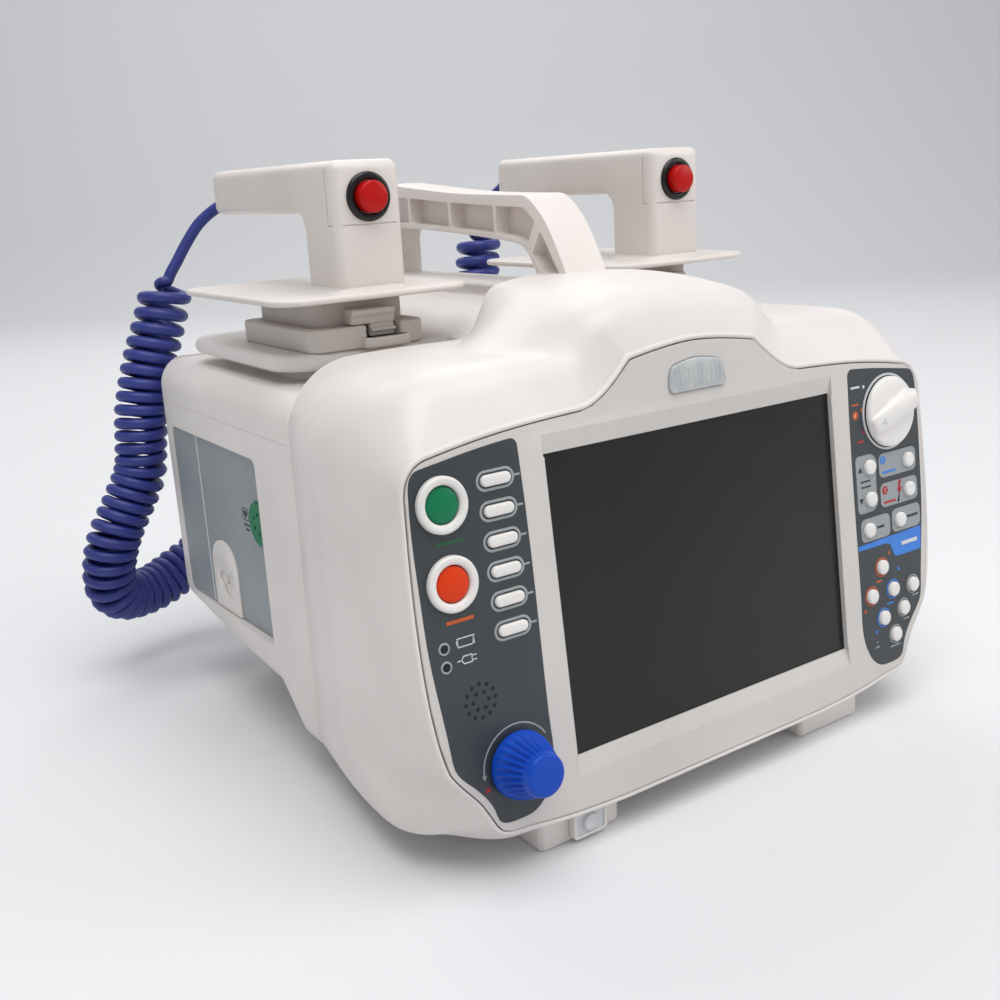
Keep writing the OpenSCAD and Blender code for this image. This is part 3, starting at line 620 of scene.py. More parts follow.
RIGHT_COIL = [(80, 178, 228), (78, 178, 200), (77, 178, 165), (77, 178, 130), (76, 180, 98), (73, 184, 72),
              (66, 189, 55), (56, 193, 48), (45, 194, 52), (36, 192, 62), (30, 188, 71), (28, 182, 76),
              (28, 175, 76)]
COIL_EASE = 1.3  # turns over which the coil widens from its lead, and narrows to its plug
PLUG_TAIL = 12.0  # how much of the end runs straight into the plug
FIRST_LOOSE = 0.7  # how much wider apart the first turns are
LOOSE_FADE = 22  # over this length they close up
COIL_WANDER = ((0.015, 17, 0), (0.012, 6.1, 1))  # slow changes in the turns' width: share, length and start


def smooth(t):
    t = min(max(t, 0.0), 1.0)
    return t * t * (3 - 2 * t)


def coil_path(lead, coil):
    """The cord's middle line: straight along the lead, then round the coil's spine, then in to its plug."""
    spine = evenly(through([Vector(p) for p in lead + coil]), COIL_PITCH / TURN_STEPS)
    along = lengths(spine)
    start = lengths(through([Vector(p) for p in lead]))[-1]
    stop = along[-1] - PLUG_TAIL
    radius = (COIL_D - CORD_D) / 2
    ease = COIL_PITCH * COIL_EASE
    turn = 0.0
    path = []
    for i, (here, (u, v)) in enumerate(zip(spine, frames(spine))):
        s = along[i]
        share = min(smooth((s - start) / ease), smooth((stop - s) / ease))
        if start < s < stop:
            loose = 1 + FIRST_LOOSE * math.exp(-(s - start) / LOOSE_FADE)
            turn += 2 * math.pi * (s - along[i - 1]) / (COIL_PITCH * loose)
        wander = 1 + sum(part * math.sin(s / length + begin) for part, length, begin in COIL_WANDER)
        path.append(here + share * radius * wander * (math.cos(turn) * u + math.sin(turn) * v))
    # The plain lead hardly bends, so every fourth point is enough there
    return [p for i, p in enumerate(path) if along[i] > start or i % 4 == 0]


def make_cord(side, lead, coil):
    path = coil_path(lead, coil)
    obj = loft_piece(side + "_cord", "cord", tube(path, [CORD_D / 2] * len(path), 10), None, 60)
    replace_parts(obj, side + "_cord_lead", side + "_cord_coil")
    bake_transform(obj)
    metres = [TO_FRAME @ p for p in path]
    tuple(metres[0])
    lengths(metres)[-1]
    [tuple(p) for p in metres]


# ---- case ----

SHELL_HIGH = box_mm("front_shell")[1]
REAR_LOW, REAR_HIGH = box_mm("rear_shell")
HALF_W = SHELL_HIGH.x
HUMP_RISE = 27.5
SHOULDER = SHELL_HIGH.z - HUMP_RISE
BASE = REAR_LOW.z
JOINT_Y = REAR_LOW.y
REAR_W = REAR_HIGH.x
REAR_Y = REAR_HIGH.y
REAR_TOP = REAR_HIGH.z
PANEL_DEPTH = 88.3


def seam_knots(d):
    """The bezel's outline on the panel, grown sideways by d."""
    return [((60, -PANEL_DEPTH - d), 2, 0.39), ((112, -84 - d), 9, 0.39), ((127.4 + d, -79), 62, 0.39),
            ((135 + d, -65.5), 52, 0.3), ((145.8 + d, -50.5), 72, 0.2), ((149.5 + d, 58), 94, 0.39),
            ((138.5, 71 + d), 170, 0.39), ((65, 78 + d), 178, 0.39), ((35.7 + d / 2, 95.3 + d), 172, 0.05),
            ((0, 99.2 + d), 180, 0.39)]


def crease_knots():
    return [((60, -128, BASE), 0, 0.39), ((116, -126, BASE), 0, 0.39), ((149.5, -100, BASE + 0.3), 5, 0.3),
            ((154.5, -94, BASE + 5), 82, 0.3), ((HALF_W, -60, 50), 90, 0.3),
            ((HALF_W - 1.5, -58, 165), 93, 0.3), ((122, -96, SHOULDER - 1), 176, 0.39),
            ((62, -101.5, SHOULDER + 0.5), 180, 0.3), ((46, -101.5, SHOULDER + 15), 160, 0.39),
            ((0, -101.5, SHOULDER + 21.5), 180, 0.39)]


def middle_knots():
    return [((60, -100, BASE), 0, 0.39), ((128, -94, BASE), 0, 0.39), ((149.5, -64, BASE + 0.5), 5, 0.3),
            ((153.7, -58, BASE + 5.5), 80, 0.3), ((HALF_W - 2.5, -46, 42), 90, 0.3),
            ((HALF_W - 3.5, -41, 168), 92, 0.3), ((120, -61.5, SHOULDER - 0.5), 177, 0.39),
            ((96, -61.5, SHOULDER), 180, 0.3), ((40, -61.5, SHOULDER + 22.5), 165, 0.3),
            ((0, -61.5, SHOULDER + 27.5), 180, 0.39)]


def rear_knots(w=0.0, y=JOINT_Y):
    """The front shell's outline at the joint, drawn inwards by w."""
    return [((60, y, BASE + w), 0, 0.39), ((130, y, BASE + w), 0, 0.39),
            ((143 - w / 2, y, BASE + 1.8 + w), 25, 0.3), ((REAR_W - 1.5 - w, y, BASE + 9), 70, 0.3),
            ((REAR_W - w, y, 35), 90, 0.39), ((REAR_W - w, y, 170), 90, 0.39),
            ((118, y, SHOULDER - 1.5 - w), 177, 0.39), ((58 - w, y, SHOULDER - 1 - w), 180, 0.3),
            ((38, y, SHOULDER + 22 - w), 165, 0.3), ((0, y, SHOULDER + 25.5 - w), 180, 0.39)]


def knot_ring(knots):
    return whole(half_outline(knots))


def seam_ring(d, n):
    return [on_panel(p.x, p.y, n) for p in knot_ring(seam_knots(d))]


def eased(before, corner, after, reach):
    """Rings that round a corner between three rings, each point turning over reach on both sides."""
    steps = 7
    rings = [[] for _ in range(steps + 1)]
    for a, b, c in zip(before, corner, after):
        start = b + (a - b) * min(0.46, reach / (a - b).length)
        stop = b + (c - b) * min(0.46, reach / (c - b).length)
        for i in range(steps + 1):
            t = i / steps
            rings[i].append((1 - t) ** 2 * start + 2 * t * (1 - t) * b + t * t * stop)
    return rings


def make_front_shell():
    lip = arc((1.5, -1.2), 1.15, 180, 30, 6)
    crease = knot_ring(crease_knots())
    mid = knot_ring(middle_knots())
    rear = knot_ring(rear_knots())
    outer = seam_ring(2.7, -1.9)
    rings = [seam_ring(0.35, -16), seam_ring(0.35, -4)] + [seam_ring(d, n) for d, n in lip] + [outer]
    rings += eased(outer, crease, mid, 14)
    rings += eased(crease, mid, rear, 20)
    rings += [knot_ring(rear_knots(0, JOINT_Y - 1.2)), knot_ring(rear_knots(1.0))]
    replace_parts(loft_piece("front_shell_moulding", "case", rings), "front_shell")


RECESS = {"front": 29, "rear": 145, "low": 59, "high": 154, "deep": 5.0, "shallow": 0.8}


def floor_x(y):
    """How far out the side recess's floor is: it slopes out to the rear."""
    share = (y - RECESS["front"]) / (RECESS["rear"] - RECESS["front"])
    return REAR_W - RECESS["deep"] + (RECESS["deep"] - RECESS["shallow"]) * share


def on_side(side):
    """Turns (y, z, n) into a point n outside the floor of a side recess."""
    return lambda y, z, n: Vector((side * (floor_x(y) + n), y, z))


def on_wall(side):
    """Turns (y, z, n) into a point n outside a side wall of the rear shell."""
    return lambda y, z, n: Vector((side * (REAR_W + n), y, z))


def recess_outline():
    wide = RECESS["rear"] - RECESS["front"]
    high = RECESS["high"] - RECESS["low"]
    mid = ((RECESS["rear"] + RECESS["front"]) / 2, (RECESS["high"] + RECESS["low"]) / 2)
    return rounded(wide, high, 4, mid)


UNDERSIDE = [(4, BASE), (27, 34), (80, 37), (REAR_Y + 1, 46)]


def underside(y):
    """The height of the rear shell's underside, which steps up behind the front shell."""
    for (y0, z0), (y1, z1) in zip(UNDERSIDE, UNDERSIDE[1:]):
        if y < y1:
            return z0 + (z1 - z0) * max(0.0, y - y0) / (y1 - y0)
    return UNDERSIDE[-1][1]


REAR_CORNER = 16.0
REAR_EDGE = 6.0


def rear_section(y, inset):
    low = underside(y) + inset
    high = REAR_TOP - inset
    outline = rounded(2 * (REAR_W - inset), high - low, REAR_CORNER - inset, (0, (low + high) / 2), 8)
    return [Vector((x, y, z)) for x, z in outline]


def make_rear_shell():
    """A box with round edges whose underside rises to the rear, cut out for its labels and for the tray."""
    stations = [(JOINT_Y, 1.0), (JOINT_Y + 1.2, 0.0)]
    stations += [(y, 0.0) for y in (2, 4, 6, 10, 14, 18, 22, 26, 28, 32, 80, REAR_Y - REAR_EDGE)]
    rounding = reversed(arc((0, 0), REAR_EDGE, 0, 75, 5))
    stations += [(REAR_Y - REAR_EDGE + x, REAR_EDGE - y) for x, y in rounding]
    obj = loft_piece("rear_shell_moulding", "case", [rear_section(y, inset) for y, inset in stations])
    recesses = bmesh.new()
    for side in (-1, 1):
        add_slab(recesses, recess_outline(), 0.0, 12.0, on_side(side))
    cut(obj, recesses)
    seat_w = 286
    seat_rear = 156
    seat = bmesh.new()
    add_slab(seat, rounded(seat_w, seat_rear - JOINT_Y, 12, (0, (JOINT_Y + seat_rear) / 2)),
             REAR_TOP - 2, REAR_TOP + 8, flat)
    cut(obj, seat)
    reshade(obj)
    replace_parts(obj, "rear_shell")


def make_belly_box():
    """The plain box under the middle of the rear shell."""
    width = 224
    height = 70
    outline = rounded(width, height, 8, (0, BASE + height / 2))
    belly = slab_piece("belly_box", "case", outline, JOINT_Y + 0.5, REAR_Y - 12, facing)
    bevelled(belly, 3.0, 4, 60, 35)


def make_mould_lines():
    """A fine line along each side, above the recess."""
    bm = bmesh.new()
    for side in (-1, 1):
        add_slab(bm, oblong(JOINT_Y + 3, REAR_Y - 8, 167.3, 167.9), -0.6, 0.12, on_wall(side))
    finish_piece("side_mould_lines", bm, "case")


# ---- things on the panel ----

PRINT = spot("print_button")
ALARM = spot("alarm_button")
ENCODER = spot("encoder_knob", 1.0)
MODE = (125.7, 49.1)
SPEAKER = (-128.3, -26)
SOFT = [spot("soft_key_%d" % i) for i in range(1, 7)]
PACER = [spot("pacer_key_%d" % i) for i in range(1, 8)]
UP, DOWN, CHARGE, SHOCK, SYNC, ECG = [spot(n) for n in (
    "energy_up_key", "energy_down_key", "charge_key", "shock_key", "sync_key", "ecg_key")]
RING_R = 11.15
PUSH_R = 7.2
KEY_R = 3.75
SOFT_SIZE = (13.8, 4.6)
KEY_BACK = -6.0


def make_cap(node, look, rings, sharp=35.0):
    """The moulded cap of a key or button, which stands for its node."""
    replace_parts(loft_piece(node + "_cap", look, rings, node, sharp), node)


def make_button_rings():
    profile = [(PUSH_R + 0.3, -0.4)] + arc((PUSH_R + 1.9, 0.7), 1.6, 180, 100)
    profile += arc((RING_R - 1.3, 1.2), 1.3, 85, 0) + [(RING_R, -0.4)]
    bm = bmesh.new()
    for place in (PRINT, ALARM):
        add_loft(bm, turned(profile, at_spot(*place), 72), closed=True)
    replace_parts(finish_piece("button_ring_pair", bm, "key"), "button_rings")


def make_push_button(node, place, look):
    """A large button with a low dome."""
    dome_r = 24.0
    dome_top = 2.2
    profile = [(PUSH_R, KEY_BACK), (PUSH_R, 0.2), (PUSH_R - 0.12, 0.75), (PUSH_R - 0.42, 1.15)]
    for i in range(9):
        radius = PUSH_R * (1 - i / 8) * 0.88
        profile.append((radius, dome_top - dome_r + math.sqrt(dome_r ** 2 - radius ** 2)))
    make_cap(node, look, turned(profile, at_spot(*place), 64))


def make_round_key(node):
    profile = [(KEY_R, KEY_BACK), (KEY_R, 1.0), (KEY_R - 0.12, 1.4), (KEY_R - 0.45, 1.7), (KEY_R * 0.7, 1.86),
               (KEY_R * 0.35, 1.97), (0, 2.0)]
    make_cap(node, "key", turned(profile, at_spot(*spot(node)), 40))


def capsule(width, height, middle):
    return rounded(width, height, height / 2 - 0.001, middle, 10)


def make_soft_key(node):
    place = spot(node)
    width, height = SOFT_SIZE
    levels = [(0.0, KEY_BACK), (0.0, 0.6), (0.1, 0.95), (0.35, 1.2), (0.8, 1.33), (1.6, 1.4)]
    rings = [[on_panel(x, y, n) for x, y in capsule(width - 2 * inset, height - 2 * inset, place)]
             for inset, n in levels]
    make_cap(node, "key", rings)


def make_encoder_knob():
    """A tapered knob with raised ribs that swirl a little, and a smooth cap."""
    ribs = 26
    swirl = 0.012
    count = ribs * 10
    # Radius, height over the panel and depth of the grooves between the ribs
    profile = [(13.0, 0.6, 0.0), (13.8, 0.9, 0.0), (14.0, 1.6, 0.0), (14.0, 3.2, 0.15), (13.8, 4.6, 0.7),
               (13.3, 6.4, 1.2), (12.6, 8.4, 1.5), (11.8, 10.4, 1.6), (11.0, 12.2, 1.5), (10.3, 13.8, 1.3),
               (9.8, 15.2, 0.8), (9.4, 16.2, 0.25), (9.1, 16.8, 0.0), (8.9, 17.4, 0.0), (8.9, 18.2, 0.0),
               (8.7, 18.8, 0.0), (8.2, 19.3, 0.0), (7.4, 19.5, 0.0), (5.0, 19.5, 0.0), (0.01, 19.5, 0.0)]
    rings = []
    for radius, n, depth in profile:
        ring = []
        for i in range(count):
            a = 2 * math.pi * i / count
            rib = (0.5 + 0.5 * math.cos(ribs * (a + n * swirl))) ** 1.6
            r = radius - depth * (1 - rib)
            ring.append(on_panel(ENCODER[0] + r * math.cos(a), ENCODER[1] + r * math.sin(a), n))
        rings.append(ring)
    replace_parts(loft_piece("encoder_knob_ribbed", "blue", rings, "encoder_knob", 50), "encoder_knob")


BAR_TURN = math.radians(201)


def at_bar(x, y, n):
    """x along the mode knob's grip bar towards its pointer, y across it."""
    s = x * math.cos(BAR_TURN) - y * math.sin(BAR_TURN)
    t = x * math.sin(BAR_TURN) + y * math.cos(BAR_TURN)
    return on_panel(MODE[0] + s, MODE[1] + t, n)


def make_mode_knob():
    """A round knob whose grip bar is tall at one end and slopes down to a pointer."""
    radius = 17.5
    disc = [(radius - 0.6, 0.6), (radius, 1.1), (radius, 1.9)] + arc((radius - 1.6, 1.9), 1.6, 0, 75)
    disc += [(radius - 5, 3.8), (radius - 9, 4.1), (0, 4.2)]
    bm = bmesh.new()
    add_lathe(bm, disc, at_spot(*MODE), 96)
    # Place along the bar, half width of its top and of its foot, and its height
    stations = [(-16.8, 2.8, 3.4, 5.9), (-16.4, 3.6, 4.3, 7.0), (-15.6, 4.2, 5.1, 7.7),
                (-14.0, 4.5, 6.0, 8.1), (-10.0, 4.7, 7.2, 8.0), (-4.0, 4.8, 8.4, 7.6),
                (2.0, 4.9, 8.6, 7.0), (8.0, 4.9, 7.8, 6.2), (12.0, 4.8, 6.6, 5.6),
                (14.6, 4.6, 5.4, 5.2), (16.2, 4.0, 4.4, 4.6), (16.9, 3.2, 3.4, 3.6)]
    foot = 2.5
    rings = []
    for x, top, base, high in stations:
        hollow = (top * 0.8 + base * 0.2, foot + (high - foot) * 0.42)
        right = [(base, foot), hollow, (top, high - 1.1), (top - 0.25, high - 0.45), (top - 0.9, high)]
        outline = right + [(-w, n) for w, n in reversed(right)]
        rings.append([at_bar(x, w, n) for w, n in outline])
    add_loft(bm, rings)
    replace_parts(finish_piece("mode_knob_moulding", bm, "key", "mode_knob", 40), "mode_knob")


def make_mode_marks():
    """The white pointer on the grip bar's sloping top, and the silver ring round the knob."""
    low_x = 12.0
    low_n = 5.6
    slope = (7.0 - low_n) / 10
    slab_piece("mode_pointer", "print_white", [(12.4, 0.0), (9.0, 2.2), (9.0, -2.2)], -0.3, 0.12,
               lambda x, y, n: at_bar(x, y, low_n + (low_x - x) * slope + n), body="mode_knob")
    slab_piece("mode_knob_surround", "silver", circle(19.0, 96), -0.3, 0.5, at_spot(*MODE), circle(17.9, 96))


def make_lens():
    """The alarm lens, with moulded ribs inside its rim."""
    knots = [((14, 78), 0, 0.39), ((16.5, 80.5), 90, 0.39), ((15.5, 87), 110, 0.39), ((11, 90.5), 170, 0.39),
             ((0, 92), 180, 0.39)]
    outline = [(p.x, p.y) for p in whole(half_outline(knots, 10))]
    obj = slab_piece("alarm_lens_moulding", "lens", outline, -3.9, 1.2)
    bevelled(obj, 0.7, 4, 60, 35)
    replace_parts(obj, "alarm_lens")
    rib_low = 79.5
    rib_t = 0.5
    bm = bmesh.new()
    for i in range(-5, 6):
        x = i * 2.6
        high = 89.5 - abs(i) * 0.25
        add_slab(bm, oblong(x - rib_t / 2, x + rib_t / 2, rib_low, high), 1.0, 1.26)
    finish_piece("alarm_lens_ribs", bm, "lens")


# ---- printing on the overlays ----

PRINT_LEVEL = 0.06
SIGN_LEVEL = 0.1


def stroke(points, width, closed=False):
    """The outline of a line of some width through points."""
    points = [Vector(p) for p in points]
    left = []
    right = []
    for i, p in enumerate(points):
        if closed:
            before, after = points[i - 1], points[(i + 1) % len(points)]
        else:
            before, after = points[max(i - 1, 0)], points[min(i + 1, len(points) - 1)]
        a = (p - before).normalized() if (p - before).length else (after - p).normalized()
        b = (after - p).normalized() if (after - p).length else a
        bisector = (a + b).normalized()
        normal = Vector((-bisector.y, bisector.x))
        half = width / 2 / max(0.4, abs(normal.dot(Vector((-a.y, a.x)))))
        left.append(p + normal * half)
        right.append(p - normal * half)
    return [(p.x, p.y) for p in left], [(p.x, p.y) for p in right]


def line(points, width):
    left, right = stroke(points, width)
    return left + right[::-1]


def make_print(name, look, shapes, level=PRINT_LEVEL):
    """One piece of printing; each shape is an outline, or an outline and its hole."""
    bm = bmesh.new()
    for shape in shapes:
        outline, hole = shape if isinstance(shape, tuple) else (shape, None)
        add_slab(bm, outline, -0.3, level, hole=hole)
    finish_piece(name, bm, look)


def ring_shape(place, outer, inner):
    return circle(outer, 48, place), circle(inner, 48, place)


def oblong(low_x, high_x, low_y, high_y):
    return [(low_x, low_y), (high_x, low_y), (high_x, high_y), (low_x, high_y)]


def bar(s, t, width, height=0.9):
    """A short bar that stands for a word."""
    return oblong(s - width / 2, s + width / 2, t - height / 2, t + height / 2)


def triangle(s, t, size, up=True):
    high = size if up else -size
    return [(s - size * 0.6, t - high / 2), (s + size * 0.6, t - high / 2), (s, t + high / 2)]


def disc(s, t, radius=2.2):
    return circle(radius, 32, (s, t))


def dot(s, t, radius=0.85):
    return circle(radius, 20, (s, t))


def speaker_hole_shade():
    """Painted shade: a dark disc in each hole of the speaker's grille, in two rings, standing for the shade
    inside the hole.
    """
    return [circle(0.82, 20, place) for radius, count in ((6.9, 12), (3.6, 6))
            for place in circle(radius, count, SPEAKER)]


def make_soft_key_prints():
    """A ring round each soft key with a lead to the screen's edge, and the encoder's arrow."""
    wide = 17.8
    high = 8.3
    ring_t = 1.1
    edge_s = -97.9
    grey = []
    for s, t in SOFT:
        grey.append((capsule(wide, high, (s, t)), capsule(wide - 2 * ring_t, high - 2 * ring_t, (s, t))))
        grey.append(line([(s + wide / 2 - 0.2, t), (edge_s, t)], 0.9))
    arc_r = 16.6
    grey.append(line(arc(ENCODER, arc_r, 180, 30, 40), 0.7))
    tip = (ENCODER[0] - arc_r, ENCODER[1])
    grey.append([(tip[0] - 1.1, tip[1]), (tip[0] + 1.1, tip[1]), (tip[0] + 0.1, tip[1] - 2.4)])
    make_print("print_soft_key_rings", "print_grey", grey)


def make_lamp_signs():
    """A battery and a plug beside the two lamps."""
    battery = [(-135.4, -2.4), (-135.4, 1.0), (-127.8, 1.0), (-128.6, -2.4)]
    plug = [(-133.5, -9.3), (-129.8, -9.3), (-129.8, -6.3), (-133.5, -6.3), (-134.6, -7.8)]
    charge = [(-128.9, -2.3), (-127.6, -2.3), (-127.9, 0.9), (-128.2, 0.9)]
    knob = oblong(-136.1, -135.4, -1.6, 0.2)
    signs = [stroke(battery, 0.5, closed=True), charge, knob, stroke(plug, 0.5, closed=True)]
    signs += [line([(start, t), (stop, t)], 0.5)
              for start, stop, t in ((-136.6, -134.5, -7.8), (-129.8, -127.6, -6.9), (-129.8, -127.6, -8.7))]
    make_print("print_lamp_signs", "print_white", signs)


def make_left_prints():
    make_soft_key_prints()
    make_lamp_signs()
    # Painted shade: dark discs in the speaker's holes stand for the shade inside them
    make_print("speaker_hole_shade", "dark", speaker_hole_shade(), 0.02)
    for name, shade, place in (("button", "green", PRINT), ("alarm", "orange", ALARM)):
        word = bar(place[0] + 1.5, place[1] - 14.8, 12.5, 1.5)
        make_print("print_" + name + "_bars", "print_" + shade, [word])
    make_print("print_encoder_mark", "print_red", [triangle(ENCODER[0] - 15.6, ENCODER[1] - 6.0, 2.3)])


def energy_field():
    """The pale field round the two energy keys, with a waist between them."""
    key_r = 5.8
    corner = 2.5
    corner_s = UP[0] - 10.0 + corner
    outline = arc((UP[0], UP[1] + 0.6), key_r, 90, -30)
    outline += [(UP[0] + 4.6, (UP[1] + DOWN[1]) / 2)]
    outline += arc((DOWN[0], DOWN[1] - 0.6), key_r, 30, -90)
    outline += arc((corner_s, DOWN[1] - 3.9), corner, 270, 180, 6)
    return outline + arc((corner_s, UP[1] + 3.9), corner, 180, 90, 6)


def key_field(key, from_s, to_s, high=12.2):
    return rounded(to_s - from_s, high, 3.2, ((from_s + to_s) / 2, key[1]))


def make_energy_prints():
    """Fields, rings, arrows and signs round the six energy and lead keys."""
    make_print("print_key_fields", "print_field", [
        energy_field(), key_field(CHARGE, 116.8, 145.6), key_field(SHOCK, 116.8, 145.8),
        key_field(SYNC, 100.6, 122.8, 11.8), key_field(ECG, 124.4, 146.8, 12.0)])
    rings = [ring_shape(key, 5.2, 4.2) for key in (UP, DOWN, CHARGE, SHOCK, SYNC, ECG)]
    make_print("print_key_rings", "print_grey", rings, SIGN_LEVEL)
    make_print("print_energy_arrows", "print_dark", [
        triangle(UP[0] - 6.8, UP[1] - 0.4, 2.9), triangle(DOWN[0] - 6.8, DOWN[1] - 0.2, 2.9, False),
        bar(UP[0] - 3.4, 17.0, 7.2), bar(UP[0] - 3.2, 14.2, 7.2), bar(SYNC[0] + 9.0, SYNC[1], 5.4, 1.3),
        bar(ECG[0] + 10.2, ECG[1] + 0.2, 8.6, 1.3)], SIGN_LEVEL)
    make_print("print_charge_signs", "print_blue", [
        disc(119.9, CHARGE[1] + 2.8), bar(124.2, CHARGE[1] - 3.6, 10.5, 1.2)], SIGN_LEVEL)
    bolt = [(131.2, 13.2), (133.4, 13.2), (132.0, 9.4), (133.6, 9.4), (130.2, 3.6), (129.4, 2.2),
            (131.0, 2.4), (131.6, 7.4), (129.8, 7.4)]
    make_print("print_shock_signs", "print_red", [
        disc(120.3, SHOCK[1] + 2.4), bar(123.6, SHOCK[1] - 3.8, 9.0, 1.2), bolt, dot(107.0, 41.4, 0.8),
        bar(104.2, 37.2, 4.6, 1.0)], SIGN_LEVEL)
    two = [(119.3, 3.7), (120.4, 3.9), (119.5, 1.9), (120.6, 1.9)]
    three = [(119.8, 3.5), (120.8, 3.4), (120.1, 2.5), (120.9, 1.5), (119.9, 1.3)]
    numbers = [line([(s, key[1] + up) for s, up in points], 0.45)
               for key, points in ((CHARGE, two), (SHOCK, three))]
    make_print("print_disc_numbers", "print_field", numbers, 0.14)


def make_pacer_prints():
    """The band and the signs round the pacer keys and the mode knob."""
    # The blue band widens to a tab at its right end
    band = [(97.6, -14.6), (146.8, -13.6), (145.9, -25.6)]
    for a in (270, 230, 200):
        band += arc((127.0, -22.6), 3.0, a, a, 1)[:1]
    band += [(122.0, -18.4), (118.6, -17.2), (97.6, -17.0)]
    make_print("print_blue_band", "print_blue", [band])
    make_print("print_band_bar", "print_white", [bar(137.0, -19.8, 12.5, 2.0)], SIGN_LEVEL)
    make_print("print_orange_signs", "print_orange", [
        ring_shape(PACER[0], 5.1, 4.25), ring_shape(PACER[1], 5.1, 4.25), triangle(120.6, -22.2, 2.0),
        triangle(99.9, -48.9, 2.0, False), bar(111.6, -35.4, 4.2, 1.0), dot(106.4, 52.6),
        disc(101.6, 50.4, 2.1), bar(102.0, 55.6, 5.4)])
    make_print("print_blue_signs", "print_blue", [
        ring_shape(PACER[2], 5.1, 4.25), ring_shape(PACER[5], 5.1, 4.25), triangle(127.2, -32.0, 2.2),
        triangle(107.6, -61.4, 2.2, False), bar(119.4, -48.6, 5.4, 1.0)])
    plain = [ring_shape(PACER[i], 4.95, 4.25) for i in (3, 4, 6)]
    plain += [bar(139.6, -48.8, 5.0, 0.8), bar(131.2, -59.6, 4.6, 0.8), bar(121.4, -71.6, 7.6, 0.8),
              bar(107.6, -66.4, 1.6, 0.6), bar(107.6, -69.0, 3.0, 0.8)]
    make_print("print_pacer_signs", "print_grey", plain)
    make_print("print_mode_marks", "print_white", [
        dot(108.8, 63.6), bar(102.6, 64.0, 6.6, 1.1), line([(101.4, 49.6), (101.6, 51.2)], 0.5)], SIGN_LEVEL)


LAMP_PLACES = ((-141.6, -1.3), (-141.6, -8.7))


def make_lamp_rims():
    rim_r = 2.1
    rim_t = 0.45
    back = -0.4
    profile = arc((rim_r, 0.0), rim_t, 180, 0) + [(rim_r + rim_t, back), (rim_r - rim_t, back)]
    rims = bmesh.new()
    faces = bmesh.new()
    for place in LAMP_PLACES:
        add_loft(rims, turned(profile, at_spot(*place), 40), closed=True)
        add_slab(faces, circle(1.66, 32, place), back, 0.05)
    finish_piece("lamp_rims", rims, "print_grey")
    finish_piece("lamp_faces", faces, "dark")


# ---- top of the case ----

TRAY_LOW, TRAY_HIGH = box_mm("paddle_tray")
TRAY_TOP = TRAY_HIGH.z - 22.5
TRAY_W = TRAY_HIGH.x - TRAY_LOW.x
TRAY_FRONT, TRAY_REAR = 8.0, 138.0
TRAY_T = 8.0
RAIL_REAR = 152


def make_tray():
    mid = (0, (TRAY_FRONT + TRAY_REAR) / 2)
    depth = TRAY_REAR - TRAY_FRONT
    outline = rounded(TRAY_W, depth, 20, mid, 10)
    plate = slab_piece("paddle_tray_plate", "tray", outline, TRAY_TOP - TRAY_T, TRAY_TOP, flat)
    bevelled(plate, 3.6, 7, 60, 40)
    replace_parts(plate, "paddle_tray")
    outline = rounded(TRAY_W - 28, depth - 24, 12, mid, 8)
    slab_piece("paddle_tray_base", "tray", outline, TRAY_LOW.z, TRAY_TOP - TRAY_T / 2, flat)
    knots = [((52, TRAY_TOP - 2), 180, 0.3), ((50, TRAY_TOP), 178, 0.39), ((16.5, TRAY_TOP + 15), 178, 0.39),
             ((16, TRAY_HIGH.z - 2), 90, 0.1), ((14, TRAY_HIGH.z), 180, 0.39), ((0, TRAY_HIGH.z), 180, 0.1)]
    profile = [(p.x, p.y) for p in whole(half_outline(knots, 10))]
    rail = slab_piece("paddle_tray_rail", "tray", profile, JOINT_Y + 1.4, RAIL_REAR, facing)
    bevelled(rail, 1.2, 3, 60, 40)


HANDLE_W = 2 * box_mm("carry_handle")[1].x
HANDLE_TOP = [(-39, 228.5), (-38, 231), (-31.5, 242.5), (-25.8, 251.3), (-20.5, 257.6), (-14.3, 262.9),
              (-9.5, 266), (-4.3, 267.6), (10, 268), (52, 269.5), (90, 272.4), (125, 275.5), (140, 276),
              (147, 273), (150, 266), (150, 225)]
HANDLE_UNDER = [(137, 225), (136.6, 245), (132, 250.5), (111, 251.5), (64, 249.5), (20, 246.5), (4, 245),
                (-4, 243), (-9, 238.5), (-13, 232.5), (-15.8, 228.5)]
HANDLE_CELLS = [
    [(-32.6, 231), (-24, 243), (-18.6, 250.6), (-11.4, 240), (-19.2, 231)],
    [(-14.3, 255.3), (-5, 261.8), (18.4, 262.7), (18.4, 249.1), (6.7, 248.1), (-7.6, 244.2)],
    [(20.8, 262.8), (61.3, 265), (61.3, 251.7), (20.8, 249.3)],
    [(63.7, 265.1), (103.8, 267.9), (103.8, 254.1), (63.7, 251.9)],
    [(106.2, 268), (143, 269.6), (146.6, 266), (146.6, 231), (139.5, 231), (139.5, 254.6), (111, 254.6),
     (106.2, 254.3)]]
POCKET_DEPTH = 8.5


def rounded_corners(points, radius):
    """The outline with each corner turned into a small arc."""
    steps = 4
    points = [Vector(p) for p in points]
    result = []
    for i, p in enumerate(points):
        before, after = points[i - 1], points[(i + 1) % len(points)]
        reach = min(radius, (before - p).length * 0.45, (after - p).length * 0.45)
        start = p + (before - p).normalized() * reach
        stop = p + (after - p).normalized() * reach
        for k in range(steps + 1):
            t = k / steps
            q = (1 - t) ** 2 * start + 2 * t * (1 - t) * p + t * t * stop
            result.append((q.x, q.y))
    return result


